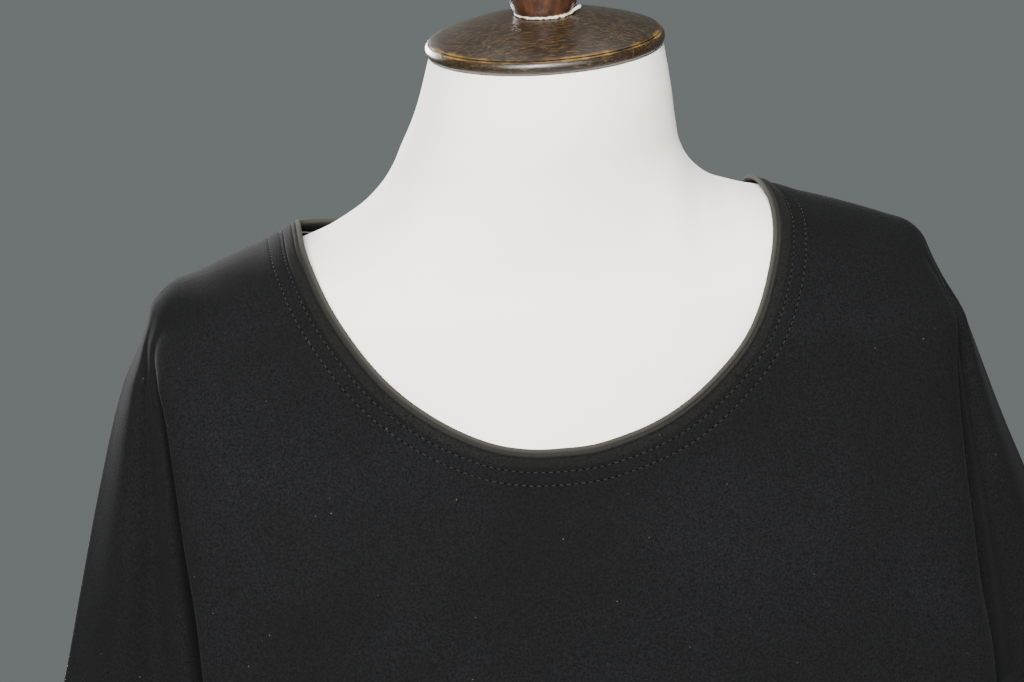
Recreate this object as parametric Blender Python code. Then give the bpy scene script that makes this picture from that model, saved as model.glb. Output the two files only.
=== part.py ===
# Loose shift dress with sleeves cut in one, on a limbless dress form with a pole and a round base.
# Metres, +Z up. The origin is at the middle of the base's underside. The front faces -Y, and +X is the
# viewer's right. Each cloth piece is a thin wall, made from points on one smooth surface and moved out.
import bisect
import functools
import math

import bmesh
import bpy
import numpy as np

# Driving sizes
CLOTH_WALL = 0.0013
CLOTH_GAP = 0.0022
SEAM_GAP = 0.0003
HEM_HEIGHT = 0.500
UNDERARM_HEIGHT = 1.160
CUFF_HEIGHT = 1.075
CUFF_SLOPE = 0.24
YOKE_END = 1.235
REST_END = 1.400
HANG_START = 1.352
NECK_SIDE_HEIGHT = 1.4225
NECK_SHIFT = -0.003
SIDE_LEAN = 0.015
LEAN_TOP = (1.500, 1.430)
LEAN_FOOT = (1.200, 1.320)
BAND_WIDTH = 0.0102
BAND_THICK = 0.0026
BEND_DROP = 4.0
BAND_GAP = 0.0009
STEP_ROOM = 0.0009
SEAM_START = BAND_WIDTH + SEAM_GAP + STEP_ROOM
CAP_HALF_WIDTH = 0.0610
CAP_HALF_DEPTH = 0.0560
CAP_THICK = 0.0070
CAP_TILT = math.radians(10.5)
CAP_MIDDLE = (0.0045, -0.0238, 1.5133)
CAP_LEAN = 0.021
CAP_LEAN_FADE = (1.470, 1.505)
CAP_RIM_TURN = 1.35
CAP_ROUNDING = 0.055
CAP_UNDERSIDE = 0.45
AXIS = (0.0, 0.0, 0.0)
POLE_RADIUS = 0.0150
BASE_RADIUS = 0.1700
BASE_THICK = 0.0180
BASE_SOFT = 0.0060
BASE_COLLAR_RADIUS = 0.0320
BASE_COLLAR_HEIGHT = 0.0220

# Angles from the side seam, in degrees, of the places where the cloth's section changes
SEAM, BULGE, TROUGH, RIDGE, VALLEY, FOLD, MIDDLE = 0.0, 4.0, 9.0, 13.0, 16.5, 20.0, 90.0

# Where the sleeve's places lie between the valley and the seam, and their depths beside the ridge's
SLEEVE_PLACES = {RIDGE: (0.15, 1.00), TROUGH: (0.36, 0.74), BULGE: (0.70, 0.66)}

# Rows across the dress form, from the neck down: sizes of one ring each
FORM_COLUMNS = ("height", "half_width", "front", "back", "mid_x", "mid_y", "tilt")
FORM_ROWS = (
    (1.5094, 0.0596, 0.0529, 0.0529, 0.0050, -0.0235, 10.5),
    (1.4900, 0.0640, 0.0550, 0.0550, 0.0036, -0.0210, 10.5),
    (1.4740, 0.0680, 0.0565, 0.0575, 0.0018, -0.0165, 11.0),
    (1.4600, 0.0732, 0.0580, 0.0600, 0.0000, -0.0110, 12.0),
    (1.4470, 0.0815, 0.0600, 0.0625, 0.0000, -0.0060, 13.0),
    (1.4345, 0.0960, 0.0620, 0.0650, 0.0000, -0.0020, 13.0),
    (1.4225, 0.1225, 0.0635, 0.0680, 0.0000, 0.0010, 12.0),
    (1.4150, 0.1490, 0.0650, 0.0705, 0.0000, 0.0030, 11.0),
    (1.4070, 0.1750, 0.0670, 0.0730, 0.0000, 0.0045, 10.0),
    (1.3980, 0.1970, 0.0690, 0.0755, 0.0000, 0.0050, 8.0),
    (1.3890, 0.2035, 0.0715, 0.0780, 0.0000, 0.0050, 6.0),
    (1.3720, 0.2055, 0.0755, 0.0815, 0.0000, 0.0050, 4.0),
    (1.3450, 0.2005, 0.0820, 0.0860, 0.0000, 0.0050, 0.0),
    (1.3150, 0.1890, 0.0895, 0.0890, 0.0000, 0.0050, 0.0),
    (1.2800, 0.1780, 0.1050, 0.0900, 0.0000, 0.0040, 0.0),
    (1.2450, 0.1700, 0.1180, 0.0890, 0.0000, 0.0020, 0.0),
    (1.2000, 0.1600, 0.1120, 0.0830, 0.0000, 0.0000, 0.0),
    (1.1300, 0.1420, 0.0960, 0.0730, 0.0000, 0.0000, 0.0),
    (1.0600, 0.1300, 0.0860, 0.0700, 0.0000, 0.0000, 0.0),
    (0.9900, 0.1450, 0.0930, 0.0820, 0.0000, 0.0000, 0.0),
    (0.9200, 0.1640, 0.1010, 0.0960, 0.0000, 0.0020, 0.0),
    (0.8600, 0.1730, 0.1040, 0.1010, 0.0000, 0.0020, 0.0),
    (0.8100, 0.1720, 0.1010, 0.0970, 0.0000, 0.0020, 0.0),
    (0.7850, 0.1680, 0.0970, 0.0930, 0.0000, 0.0020, 0.0),
    (0.7750, 0.1560, 0.0850, 0.0820, 0.0000, 0.0020, 0.0),
)

# Hollows where the neck meets the shoulders, which the cloth bridges: how far across and how far down
HOLLOW_COLUMNS = ("across", "down")
HOLLOW_ROWS = ((-0.1550, 0.0000), (-0.1250, 0.0066), (-0.1100, 0.0062), (-0.0950, 0.0048), (-0.0800, 0.0028),
               (-0.0640, 0.0000), (0.0600, 0.0000), (0.0780, 0.0050), (0.0900, 0.0046), (0.1050, 0.0026),
               (0.1250, 0.0010), (0.1500, 0.0000))
HOLLOW_FADE = (1.375, 1.410)

# Rows down the hanging cloth: half widths and depths of the seam, valley, ridge, fold and middle
HANG_COLUMNS = ("height", "seam_x", "valley_x", "valley_y", "ridge_y", "fold_x", "fold_y", "middle_y",
                "back_fold_y", "back_middle_y", "sway")
HANG_ROWS = (
    (1.3950, 0.2020, 0.1980, 0.0180, 0.0210, 0.1940, 0.0260, 0.0665, 0.0300, 0.0800, 0.0000),
    (1.3750, 0.2140, 0.2085, 0.0260, 0.0260, 0.2085, 0.0330, 0.0735, 0.0400, 0.0880, 0.0010),
    (1.3600, 0.2205, 0.2065, 0.0300, 0.0330, 0.2055, 0.0450, 0.0775, 0.0500, 0.0920, 0.0020),
    (1.3350, 0.2298, 0.2020, 0.0280, 0.0390, 0.2015, 0.0580, 0.0820, 0.0600, 0.0955, 0.0018),
    (1.3000, 0.2412, 0.1990, 0.0230, 0.0440, 0.1990, 0.0690, 0.0950, 0.0680, 0.0980, 0.0025),
    (1.2450, 0.2595, 0.1965, 0.0150, 0.0490, 0.1985, 0.0790, 0.1190, 0.0730, 0.0985, 0.0055),
    (1.1900, 0.2775, 0.1950, 0.0060, 0.0520, 0.2010, 0.0850, 0.1215, 0.0770, 0.0980, 0.0085),
    (1.1600, 0.2860, 0.1945, 0.0000, 0.0530, 0.2025, 0.0870, 0.1220, 0.0790, 0.0980, 0.0085),
    (1.0800, 0.3050, 0.1925, 0.0000, 0.0500, 0.2045, 0.0880, 0.1230, 0.0800, 0.1000, 0.0060),
    (0.9500, 0.3050, 0.1970, 0.0000, 0.0500, 0.2060, 0.0800, 0.1250, 0.0720, 0.1120, 0.0020),
    (0.8000, 0.3050, 0.2100, 0.0000, 0.0500, 0.2090, 0.0690, 0.1290, 0.0640, 0.1210, 0.0000),
    (0.6500, 0.3050, 0.2230, 0.0000, 0.0500, 0.2130, 0.0620, 0.1330, 0.0580, 0.1280, 0.0000),
    (0.5000, 0.3050, 0.2350, 0.0000, 0.0500, 0.2180, 0.0560, 0.1370, 0.0530, 0.1330, 0.0000),
)

# The inner seam of each sleeve below the underarm, from the underarm to the cuff
SLEEVE_COLUMNS = ("height", "inner_x")
SLEEVE_ROWS = ((1.1600, 0.1945), (1.1450, 0.2030), (1.0750, 0.2080))

# Half of the neck opening's edge: how far out from the middle and how far down from the neck's side
EDGE_COLUMNS = ("across", "down")
FRONT_EDGE = ((0.0000, 0.1085), (0.0260, 0.1070), (0.0500, 0.0995), (0.0670, 0.0890), (0.0820, 0.0750),
              (0.0955, 0.0585), (0.1045, 0.0440), (0.1125, 0.0315), (0.1185, 0.0195), (0.1235, 0.0000))
BACK_EDGE = ((0.0000, 0.0080), (0.0400, 0.0070), (0.0800, 0.0030), (0.1050, -0.0010), (0.1235, 0.0000))

# Domed top of the neck cap: share of its radius, and height beside half its rim's thickness
CAP_CROWN = ((0.93, 1.40), (0.80, 2.15), (0.60, 3.15), (0.42, 3.80), (0.28, 4.10))

# Turned finial, from its foot up: radius and height
FINIAL_PROFILE = ((0.0138, 0.0), (0.0156, 0.0022), (0.0170, 0.0060), (0.0177, 0.0110), (0.0172, 0.0160),
                  (0.0158, 0.0205), (0.0125, 0.0250), (0.0110, 0.0310), (0.0150, 0.0370), (0.0215, 0.0450),
                  (0.0250, 0.0550), (0.0240, 0.0650), (0.0180, 0.0740), (0.0090, 0.0790))

# Collar on the base: how far out of its radius, and height from its top
COLLAR_PROFILE = ((0.004, -0.021), (0.0, -0.016), (0.0, -0.003), (-0.003, 0.0))

# Soft vertical waves that open towards the hem: where they lie across, and how deep they get
WAVE_COUNT = 5
WAVE_DEPTH = 0.0080
WAVE_START = 1.100
WAVE_FADE = 30.0

# Steps across half a panel and down it
SLEEVE_TURNS = (0.0, 2.0, 4.0, 6.5, 9.0, 11.0, 13.0, 14.8, 16.5, 18.2, 20.0)
FACE_STEPS = 13
YOKE_STEPS = 13
CHEST_STEPS = 3
SKIRT_STEPS = 13
CUFF_STEPS = 4
FORM_SIDES = 40
FORM_FINE_ROWS = 14
ROUND_SIDES = 48
SMALL_SIDES = 24
CAP_RIM_STEPS = 6
BASE_EDGE_STEPS = 4
BAND_STEPS = 90
NECK_SAMPLES = 240
COLUMN_SAMPLES = 90
NECK_TOP = 1.47
HALVINGS = 24
TURN_STEP = 0.5
HEIGHT_STEP = 0.0004
PAST_EDGE_SLOPE = 20.0
BEND_WEIGHT = 0.060
SHARP_ANGLE = 40

# Section of the neck band: share of its width from the opening's edge, and share of its thickness
BAND_COLUMNS = ("across", "up")
BAND_SECTION = ((0.00, 0.50), (0.03, 0.12), (0.14, 0.00), (0.60, 0.00), (0.97, 0.06), (1.00, 0.45),
                (0.94, 0.72), (0.55, 0.74), (0.20, 1.00), (0.04, 0.86))

COLOURS = {
    "jersey": ((0.022, 0.022, 0.025), 0.90, 0.0),
    "band": ((0.030, 0.029, 0.027), 0.90, 0.0),
    "cover": ((0.86, 0.84, 0.77), 0.85, 0.0),
    "dark_wood": ((0.070, 0.035, 0.018), 0.38, 0.0),
    "finial_wood": ((0.110, 0.030, 0.018), 0.40, 0.0),
    "painted_steel": ((0.030, 0.030, 0.032), 0.45, 0.0),
}


def smooth_curve(places, values):
    """Returns a function that reads a smooth curve through some values, with no overshoot between them."""
    order = sorted(range(len(places)), key=lambda k: places[k])
    places, values = [places[k] for k in order], [values[k] for k in order]
    steep = [(values[k + 1] - values[k]) / (places[k + 1] - places[k]) for k in range(len(places) - 1)]
    slopes = [steep[0]]
    for before, after in zip(steep, steep[1:]):
        slopes.append(2 * before * after / (before + after) if before * after > 0 else 0.0)
    slopes.append(steep[-1])

    def read(at):
        at = min(max(at, places[0]), places[-1])
        i = min(max(bisect.bisect_left(places, at) - 1, 0), len(steep) - 1)
        gap = places[i + 1] - places[i]
        t = (at - places[i]) / gap
        eased = values[i] + (values[i + 1] - values[i]) * t * t * (3 - 2 * t)
        return eased + gap * t * (1 - t) * (slopes[i] * (1 - t) - slopes[i + 1] * t)

    return read


def reader(columns, rows):
    """Returns a function that reads one named column of a table at a height."""
    heights = [row[0] for row in rows]
    curves = {name: smooth_curve(heights, [row[k] for row in rows]) for k, name in enumerate(columns)}
    return lambda name, at: curves[name](at)


form_size = reader(FORM_COLUMNS, FORM_ROWS)
hang_size = reader(HANG_COLUMNS, HANG_ROWS)
sleeve_size = reader(SLEEVE_COLUMNS, SLEEVE_ROWS)
hollow = smooth_curve(*zip(*HOLLOW_ROWS))
front_edge = smooth_curve(*zip(*FRONT_EDGE))
back_edge = smooth_curve(*zip(*BACK_EDGE))


def step(low, high, at):
    """Goes smoothly from 0 at low to 1 at high."""
    t = min(max((at - low) / (high - low), 0.0), 1.0)
    return t * t * (3 - 2 * t)


def form_reach(front, height):
    """How far the form's middle reaches in front of, or behind, the seams' plane."""
    depth = form_size("front" if front else "back", height)
    return depth - form_size("mid_y", height) if front else depth + form_size("mid_y", height)


def form_point(turn, height):
    """A point of the form's even surface. turn is 0 at +X, 90 at the front and -90 at the back."""
    turn = math.radians(turn)
    depth = form_size("front" if math.sin(turn) > 0 else "back", height)
    x = form_size("mid_x", height) + form_size("half_width", height) * math.cos(turn)
    ahead = -depth * math.sin(turn)
    lean = math.tan(math.radians(form_size("tilt", height)))
    side_lean = SIDE_LEAN * step(*LEAN_TOP, height) * step(*LEAN_FOOT, height)
    side_lean += CAP_LEAN * step(*CAP_LEAN_FADE, height)
    return np.array([x, form_size("mid_y", height) + ahead, height + ahead * lean + side_lean * x])


def skin_point(turn, height):
    """A point of the form's own skin, with its hollows beside the neck."""
    place = form_point(turn, height)
    place[2] -= hollow(place[0]) * step(*HOLLOW_FADE, height)
    return place


def outward(surface, turn, height):
    """The unit direction straight out of a surface at one of its points."""
    along = surface(turn + TURN_STEP, height) - surface(turn - TURN_STEP, height)
    down = surface(turn, height - HEIGHT_STEP) - surface(turn, height + HEIGHT_STEP)
    out = np.cross(along, down)
    return out / np.linalg.norm(out)


def rest_point(turn, height):
    """A point of the cloth where it lies on the form, just clear of it."""
    return form_point(turn, height) + CLOTH_GAP * outward(form_point, turn, height)


def curve_through(keys, at):
    """Reads a smooth curve through key places: {angle: (x, y)}."""
    angles = sorted(keys)
    places = np.array([keys[a] for a in angles])
    slopes = np.gradient(places, np.array(angles), axis=0)
    i = int(np.clip(np.searchsorted(angles, at) - 1, 0, len(angles) - 2))
    gap = angles[i + 1] - angles[i]
    t = (at - angles[i]) / gap
    start = (1 + 2 * t) * (1 - t) ** 2
    end = t * t * (3 - 2 * t)
    return (start * places[i] + end * places[i + 1]
            + gap * (t * (1 - t) ** 2 * slopes[i] - t * t * (1 - t) * slopes[i + 1]))


def side_keys(height, inner_x, inner_y):
    """Section of one sleeve's front half, from the outer seam in to the valley."""
    seam_x, ridge_y = hang_size("seam_x", height), hang_size("ridge_y", height)
    keys = {SEAM: (seam_x, 0.0), VALLEY: (inner_x, -inner_y)}
    for angle, (share, depth) in SLEEVE_PLACES.items():
        keys[angle] = (inner_x + share * (seam_x - inner_x), -depth * ridge_y)
    return keys


def wave(angle, height):
    """How far the skirt's soft waves move the cloth out. They fade towards the side seam."""
    grown = step(WAVE_START, HEM_HEIGHT, height) * step(VALLEY, WAVE_FADE, angle)
    across = (angle - VALLEY) / (MIDDLE - VALLEY)
    return WAVE_DEPTH * grown * math.cos(math.pi * WAVE_COUNT * across)


def hang_point(turn, height):
    """A point of the cloth where it hangs clear of the form."""
    angle, side = (turn, 1) if abs(turn) <= MIDDLE else (math.copysign(180, turn) - turn, -1)
    angle, front = abs(angle), turn >= 0
    fold_x = hang_size("fold_x", height)
    fold_y = hang_size("fold_y" if front else "back_fold_y", height)
    middle_y = hang_size("middle_y" if front else "back_middle_y", height)
    middle_y = max(middle_y, form_reach(front, height) + CLOTH_GAP)
    if angle < FOLD:
        keys = side_keys(height, hang_size("valley_x", height), hang_size("valley_y", height))
        keys[FOLD] = (fold_x, -fold_y)
        past = math.radians(90 / (MIDDLE - FOLD)) * (FOLD - VALLEY)
        keys[2 * FOLD - VALLEY] = (fold_x * math.cos(past), -fold_y - (middle_y - fold_y) * math.sin(past))
        x, y = curve_through(keys, angle)
    else:
        round_it = math.radians((angle - FOLD) * 90 / (MIDDLE - FOLD))
        x, y = fold_x * math.cos(round_it), -fold_y - (middle_y - fold_y) * math.sin(round_it)
    y -= wave(angle, height)
    return np.array([side * x + hang_size("sway", height), y if front else -y, height])


def cloth_point(turn, height):
    """A point of the cloth's inner face: on the form at the shoulders, and hanging lower down."""
    if height >= REST_END:
        return rest_point(turn, height)
    if height <= HANG_START:
        return hang_point(turn, height)
    share = step(REST_END, HANG_START, height)
    return rest_point(turn, height) * (1 - share) + hang_point(turn, height) * share


def sleeve_point(turn, height):
    """A point of a sleeve's inner face below the underarm, where the sleeve is a tube of its own."""
    angle, side = (turn, 1) if abs(turn) <= MIDDLE else (math.copysign(180, turn) - turn, -1)
    angle, front = abs(angle), turn >= 0
    keys = side_keys(height, sleeve_size("inner_x", height), 0.0)
    x, y = curve_through(keys, angle)
    tilt = CUFF_SLOPE * (UNDERARM_HEIGHT - height) / (UNDERARM_HEIGHT - CUFF_HEIGHT)
    z = height + tilt * (x - keys[VALLEY][0])
    return np.array([side * x + hang_size("sway", height), y if front else -y, z])


def edge_drop(front, across):
    """Height of the neck opening's edge at a distance from the middle; it rises steeply past its side."""
    past = max(0.0, across - FRONT_EDGE[-1][0])
    return NECK_SIDE_HEIGHT - (front_edge if front else back_edge)(across) + PAST_EDGE_SLOPE * past


@functools.lru_cache(maxsize=None)
def neck_height(turn):
    """The height on the cloth, at one turn, where the neck opening's edge crosses."""
    low, high = YOKE_END, NECK_TOP
    for _ in range(HALVINGS):
        middle = (low + high) / 2
        point = cloth_point(turn, middle)
        if point[2] > edge_drop(turn >= 0, abs(point[0] - NECK_SHIFT)):
            high = middle
        else:
            low = middle
    return (low + high) / 2


def signed(turn):
    return turn if turn <= 180 else turn - 360


@functools.lru_cache(maxsize=None)
def neck_loop(count):
    """Points, evenly spaced, round the whole neck opening's edge, with the cloth's outward direction."""
    turns = [360 * k / NECK_SAMPLES for k in range(NECK_SAMPLES + 1)]
    closed = np.array([cloth_point(signed(t), neck_height(signed(t))) for t in turns])
    run = np.concatenate([[0], np.cumsum(np.linalg.norm(np.diff(closed, axis=0), axis=1))])
    at = np.linspace(0, run[-1], count + 1)[:-1]
    loop = np.stack([np.interp(at, run, closed[:, k]) for k in range(3)], axis=1)
    spread = np.interp(at, run, turns)
    out = [outward(cloth_point, turn, neck_height(turn)) for turn in map(signed, spread)]
    return loop, np.array(out)


def panel_turns():
    """Angles across a whole panel, from the seam at +X to the seam at -X."""
    face = np.linspace(FOLD, MIDDLE, FACE_STEPS + 1)[1:]
    half = list(SLEEVE_TURNS) + list(face)
    return half + [180 - t for t in half[-2::-1]]


def yoke_column(turn, edge):
    """Points down one column from the band's seam to the chest, closer together where the cloth bends."""
    top = neck_height(turn)
    heights = top + (YOKE_END - top) * np.linspace(0, 1, COLUMN_SAMPLES) ** 2
    path = np.array([cloth_point(turn, h) for h in heights])
    off = np.array([np.linalg.norm(edge - p, axis=1).min() for p in path])
    first = int(np.argmax(off > SEAM_START))
    share = (SEAM_START - off[first - 1]) / (off[first] - off[first - 1])
    path = np.vstack([path[first - 1] + share * (path[first] - path[first - 1]), path[first:]])
    legs = np.diff(path, axis=0)
    length = np.linalg.norm(legs, axis=1)
    bends = np.linalg.norm(np.diff(legs / length[:, None], axis=0), axis=1)
    weight = length + BEND_WEIGHT * (np.append(0, bends) + np.append(bends, 0)) / 2
    run = np.concatenate([[0], np.cumsum(weight)])
    at = np.linspace(0, run[-1], YOKE_STEPS + 1)
    return [np.array([np.interp(a, run, path[:, k]) for k in range(3)]) for a in at]


def panel_grid(front):
    """Points of one panel's inner face and its faces. The sleeves part from the body at the underarm."""
    turns = panel_turns()
    if not front:
        turns = [-t for t in turns]
    edge = neck_loop(NECK_SAMPLES)[0]
    points, index = [], {}

    def add(key, place):
        index[key] = len(points)
        points.append(place)

    chest = np.linspace(YOKE_END, UNDERARM_HEIGHT, CHEST_STEPS + 1)[1:]
    for i, turn in enumerate(turns):
        column = yoke_column(turn, edge) + [cloth_point(turn, h) for h in chest]
        for j, place in enumerate(column):
            add(("body", j, i), place)
    split = YOKE_STEPS + CHEST_STEPS
    valley = SLEEVE_TURNS.index(VALLEY)
    last = len(turns) - 1
    for j, height in enumerate(np.linspace(UNDERARM_HEIGHT, HEM_HEIGHT, SKIRT_STEPS + 1)[1:], split + 1):
        for i in range(valley, last - valley + 1):
            add(("body", j, i), hang_point(turns[i], height))
    for j, height in enumerate(np.linspace(UNDERARM_HEIGHT, CUFF_HEIGHT, CUFF_STEPS + 1)[1:], split + 1):
        for i in list(range(valley + 1)) + list(range(last - valley, last + 1)):
            add(("sleeve", j, i), sleeve_point(turns[i], height))

    def at(block, j, i):
        return index[(block if j > split else "body", j, i)]

    faces = []
    blocks = (
        ("body", 0, split, 0, last),
        ("body", split, split + SKIRT_STEPS, valley, last - valley),
        ("sleeve", split, split + CUFF_STEPS, 0, valley),
        ("sleeve", split, split + CUFF_STEPS, last - valley, last),
    )
    for block, top, bottom, start, end in blocks:
        for j in range(top, bottom):
            for i in range(start, end):
                corners = [(j, i), (j + 1, i), (j + 1, i + 1), (j, i + 1)]
                face = [at(block, *c) for c in corners]
                faces.append(face if front else face[::-1])
    sleeve_ends = (0, valley, last - valley, last)
    edges = {at("body", j, i) for j in range(split + 1) for i in (0, last)}
    edges |= {at("sleeve", j, i) for j in range(split + 1, split + CUFF_STEPS + 1) for i in sleeve_ends}
    edges |= {at("body", j, i) for j in range(split, split + SKIRT_STEPS + 1) for i in sleeve_ends[1:3]}
    places = np.array(points)
    shift = -SEAM_GAP / 2 if front else SEAM_GAP / 2
    seam = np.array(sorted(edges))
    places[seam, 1] += shift
    return places, faces, seam


def corner_normals(points, faces):
    normals = np.zeros_like(points)
    for face in faces:
        a, b, c, d = (points[k] for k in face)
        turned = np.cross(c - a, d - b)
        for k in face:
            normals[k] += turned
    return normals


def add_object(name, points, faces, colour):
    mesh = bpy.data.meshes.new(name)
    mesh.from_pydata([tuple(p) for p in points], [], faces)
    mesh.validate()
    shaped = bmesh.new()
    shaped.from_mesh(mesh)
    bmesh.ops.recalc_face_normals(shaped, faces=shaped.faces)
    shaped.to_mesh(mesh)
    shaped.free()
    mesh.shade_smooth()
    mesh.set_sharp_from_angle(angle=math.radians(SHARP_ANGLE))
    shade, rough, metal = COLOURS[colour]
    material = bpy.data.materials.get(colour) or bpy.data.materials.new(colour)
    material.use_nodes = True
    shader = material.node_tree.nodes["Principled BSDF"]
    shader.inputs["Base Color"].default_value = (*shade, 1.0)
    shader.inputs["Roughness"].default_value = rough
    shader.inputs["Metallic"].default_value = metal
    mesh.materials.append(material)
    made = bpy.data.objects.new(name, mesh)
    bpy.context.scene.collection.objects.link(made)
    return made


def cloth_wall(name, points, faces, seam, colour):
    """A closed wall on a sheet of points: the sheet, the sheet moved out, and a rim between them."""
    normals = corner_normals(points, faces)
    normals[seam, 1] = 0.0
    normals /= np.linalg.norm(normals, axis=1)[:, None]
    outer = points + normals * CLOTH_WALL
    count = len(points)
    used = {}
    for face in faces:
        for a, b in zip(face, face[1:] + face[:1]):
            used[(a, b)] = True
    rims = [[b, a, a + count, b + count] for a, b in used if (b, a) not in used]
    inside = [face[::-1] for face in faces]
    outside = [[k + count for k in face] for face in faces]
    return add_object(name, np.vstack([points, outer]), inside + outside + rims, colour)


def ring_solid(name, rings, colour):
    """A closed solid through rings of equal count, with a flat fan at each end."""
    count = len(rings[0])
    points = [p for ring in rings for p in ring]
    faces = []
    for j in range(len(rings) - 1):
        for i in range(count):
            k = (i + 1) % count
            faces.append([j * count + i, j * count + k, (j + 1) * count + k, (j + 1) * count + i])
    for j in (0, len(rings) - 1):
        points.append(np.mean(rings[j], axis=0))
        for i in range(count):
            faces.append([j * count + i, j * count + (i + 1) % count, len(points) - 1])
    return add_object(name, points, faces, colour)


def form_body():
    heights = np.array([row[0] for row in FORM_ROWS])
    upper, lower = heights[:FORM_FINE_ROWS + 1], heights[FORM_FINE_ROWS:]
    fine = np.concatenate([[a, (a + b) / 2] for a, b in zip(upper, upper[1:])])
    heights = np.concatenate([fine, lower])
    turns = [360 * k / FORM_SIDES for k in range(FORM_SIDES)]
    rings = [[skin_point(signed(t), h) for t in turns] for h in heights]
    return ring_solid("form_body", rings, "cover")


def turned(name, profile, middle, sides, colour, wide=1.0, deep=1.0, tilt=0.0, lean=0.0):
    """A turned piece: rings of a profile of (radius, height), made oval, tilted and leant sideways."""
    rings = []
    for radius, height in profile:
        ring = []
        for k in range(sides):
            turn = 2 * math.pi * k / sides
            x, y = radius * wide * math.cos(turn), radius * deep * math.sin(turn)
            ring.append(np.array([
                middle[0] + x,
                middle[1] + y * math.cos(tilt) - height * math.sin(tilt),
                middle[2] + y * math.sin(tilt) + height * math.cos(tilt) + lean * x,
            ]))
        rings.append(ring)
    return ring_solid(name, rings, colour)


def neck_cap():
    """Oval wooden cap with a rounded rim and a domed top."""
    half = CAP_THICK / 2
    turns = np.linspace(-CAP_RIM_TURN, CAP_RIM_TURN, CAP_RIM_STEPS)
    rim = [(1 - CAP_ROUNDING * (1 - math.cos(a)), half * math.sin(a)) for a in turns]
    profile = [(CAP_UNDERSIDE, -half)] + rim + [(share, half * rise) for share, rise in CAP_CROWN]
    return turned("neck_cap", profile, CAP_MIDDLE, ROUND_SIDES, "dark_wood",
                  CAP_HALF_WIDTH, CAP_HALF_DEPTH, CAP_TILT, CAP_LEAN)


def finial():
    """Turned knob on the cap: a flared foot, a thin neck and a round ball."""
    foot = CAP_THICK / 2 * CAP_CROWN[-1][1] + SEAM_GAP
    profile = [(radius, foot + height) for radius, height in FINIAL_PROFILE]
    return turned("finial", profile, CAP_MIDDLE, SMALL_SIDES, "finial_wood", tilt=CAP_TILT, lean=CAP_LEAN)


def pole():
    top = FORM_ROWS[-1][0] - SEAM_GAP
    foot = BASE_THICK + BASE_COLLAR_HEIGHT + SEAM_GAP
    return turned("pole", ((POLE_RADIUS, foot), (POLE_RADIUS, top)), AXIS, SMALL_SIDES, "painted_steel")


def base():
    """Round base plate with a soft top edge and a collar that holds the pole."""
    top = BASE_THICK + BASE_COLLAR_HEIGHT
    edge = [(BASE_RADIUS - BASE_SOFT * (1 - math.cos(a)), BASE_THICK - BASE_SOFT * (1 - math.sin(a)))
            for a in np.linspace(0, math.pi / 2, BASE_EDGE_STEPS)]
    collar = [(BASE_COLLAR_RADIUS + out, top + up) for out, up in COLLAR_PROFILE]
    return turned("base", [(BASE_RADIUS, 0.0)] + edge + collar, AXIS, ROUND_SIDES, "painted_steel")


def neck_band():
    """The folded strip round the neck opening, rolled at its inner edge, beside the panels' edge."""
    sheet, normals = neck_loop(BAND_STEPS)
    along = np.roll(sheet, -1, axis=0) - np.roll(sheet, 1, axis=0)
    outward = np.cross(normals, along)
    outward /= np.linalg.norm(outward, axis=1)[:, None]
    points = []
    for place, out, normal in zip(sheet, outward, normals):
        foot = place + normal * (BAND_GAP - CLOTH_GAP)
        for across, up in BAND_SECTION:
            drop = BEND_DROP * (across * BAND_WIDTH) ** 2
            points.append(foot + out * across * BAND_WIDTH + normal * (up * BAND_THICK - drop))
    count = len(BAND_SECTION)
    faces = []
    for j in range(BAND_STEPS):
        a, b = j * count, (j + 1) % BAND_STEPS * count
        for k in range(count):
            c = (k + 1) % count
            faces.append([a + k, b + k, b + c, a + c])
    return add_object("neck_band", points, faces, "band")


def main():
    for old in list(bpy.data.objects):
        bpy.data.objects.remove(old)
    for name, front in (("front_panel", True), ("back_panel", False)):
        points, faces, seam = panel_grid(front)
        cloth_wall(name, points, faces, seam, "jersey")
    neck_band()
    form_body()
    neck_cap()
    finial()
    pole()
    base()


main()
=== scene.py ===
# Loose black jersey dress on a limbless dress form with a wooden neck cap: its looks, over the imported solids.
# Metres, +Z up, the front faces -Y.
import bisect
import functools
import math

import bmesh
import bpy
import numpy as np
from mathutils import Matrix, Vector, noise


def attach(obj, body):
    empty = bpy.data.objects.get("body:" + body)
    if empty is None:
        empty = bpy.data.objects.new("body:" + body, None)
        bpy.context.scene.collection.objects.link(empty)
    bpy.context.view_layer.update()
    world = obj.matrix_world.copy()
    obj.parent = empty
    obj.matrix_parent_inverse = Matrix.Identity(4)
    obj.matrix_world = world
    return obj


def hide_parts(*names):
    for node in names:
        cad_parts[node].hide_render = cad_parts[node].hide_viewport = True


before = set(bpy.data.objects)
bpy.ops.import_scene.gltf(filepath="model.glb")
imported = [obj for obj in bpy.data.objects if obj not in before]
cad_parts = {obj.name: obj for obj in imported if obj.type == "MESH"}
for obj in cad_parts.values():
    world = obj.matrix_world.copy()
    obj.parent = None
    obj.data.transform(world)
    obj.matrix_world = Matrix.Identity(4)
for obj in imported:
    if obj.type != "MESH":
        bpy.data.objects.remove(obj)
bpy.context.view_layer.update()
print("solids loaded:", len(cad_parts), "nodes")


# small helpers

def linear(hexColour):  # an sRGB hex colour as linear RGBA
    values = [int(hexColour[k:k + 2], 16) / 255 for k in (1, 3, 5)]
    return tuple(v / 12.92 if v <= 0.04045 else ((v + 0.055) / 1.055) ** 2.4 for v in values) + (1.0,)


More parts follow.
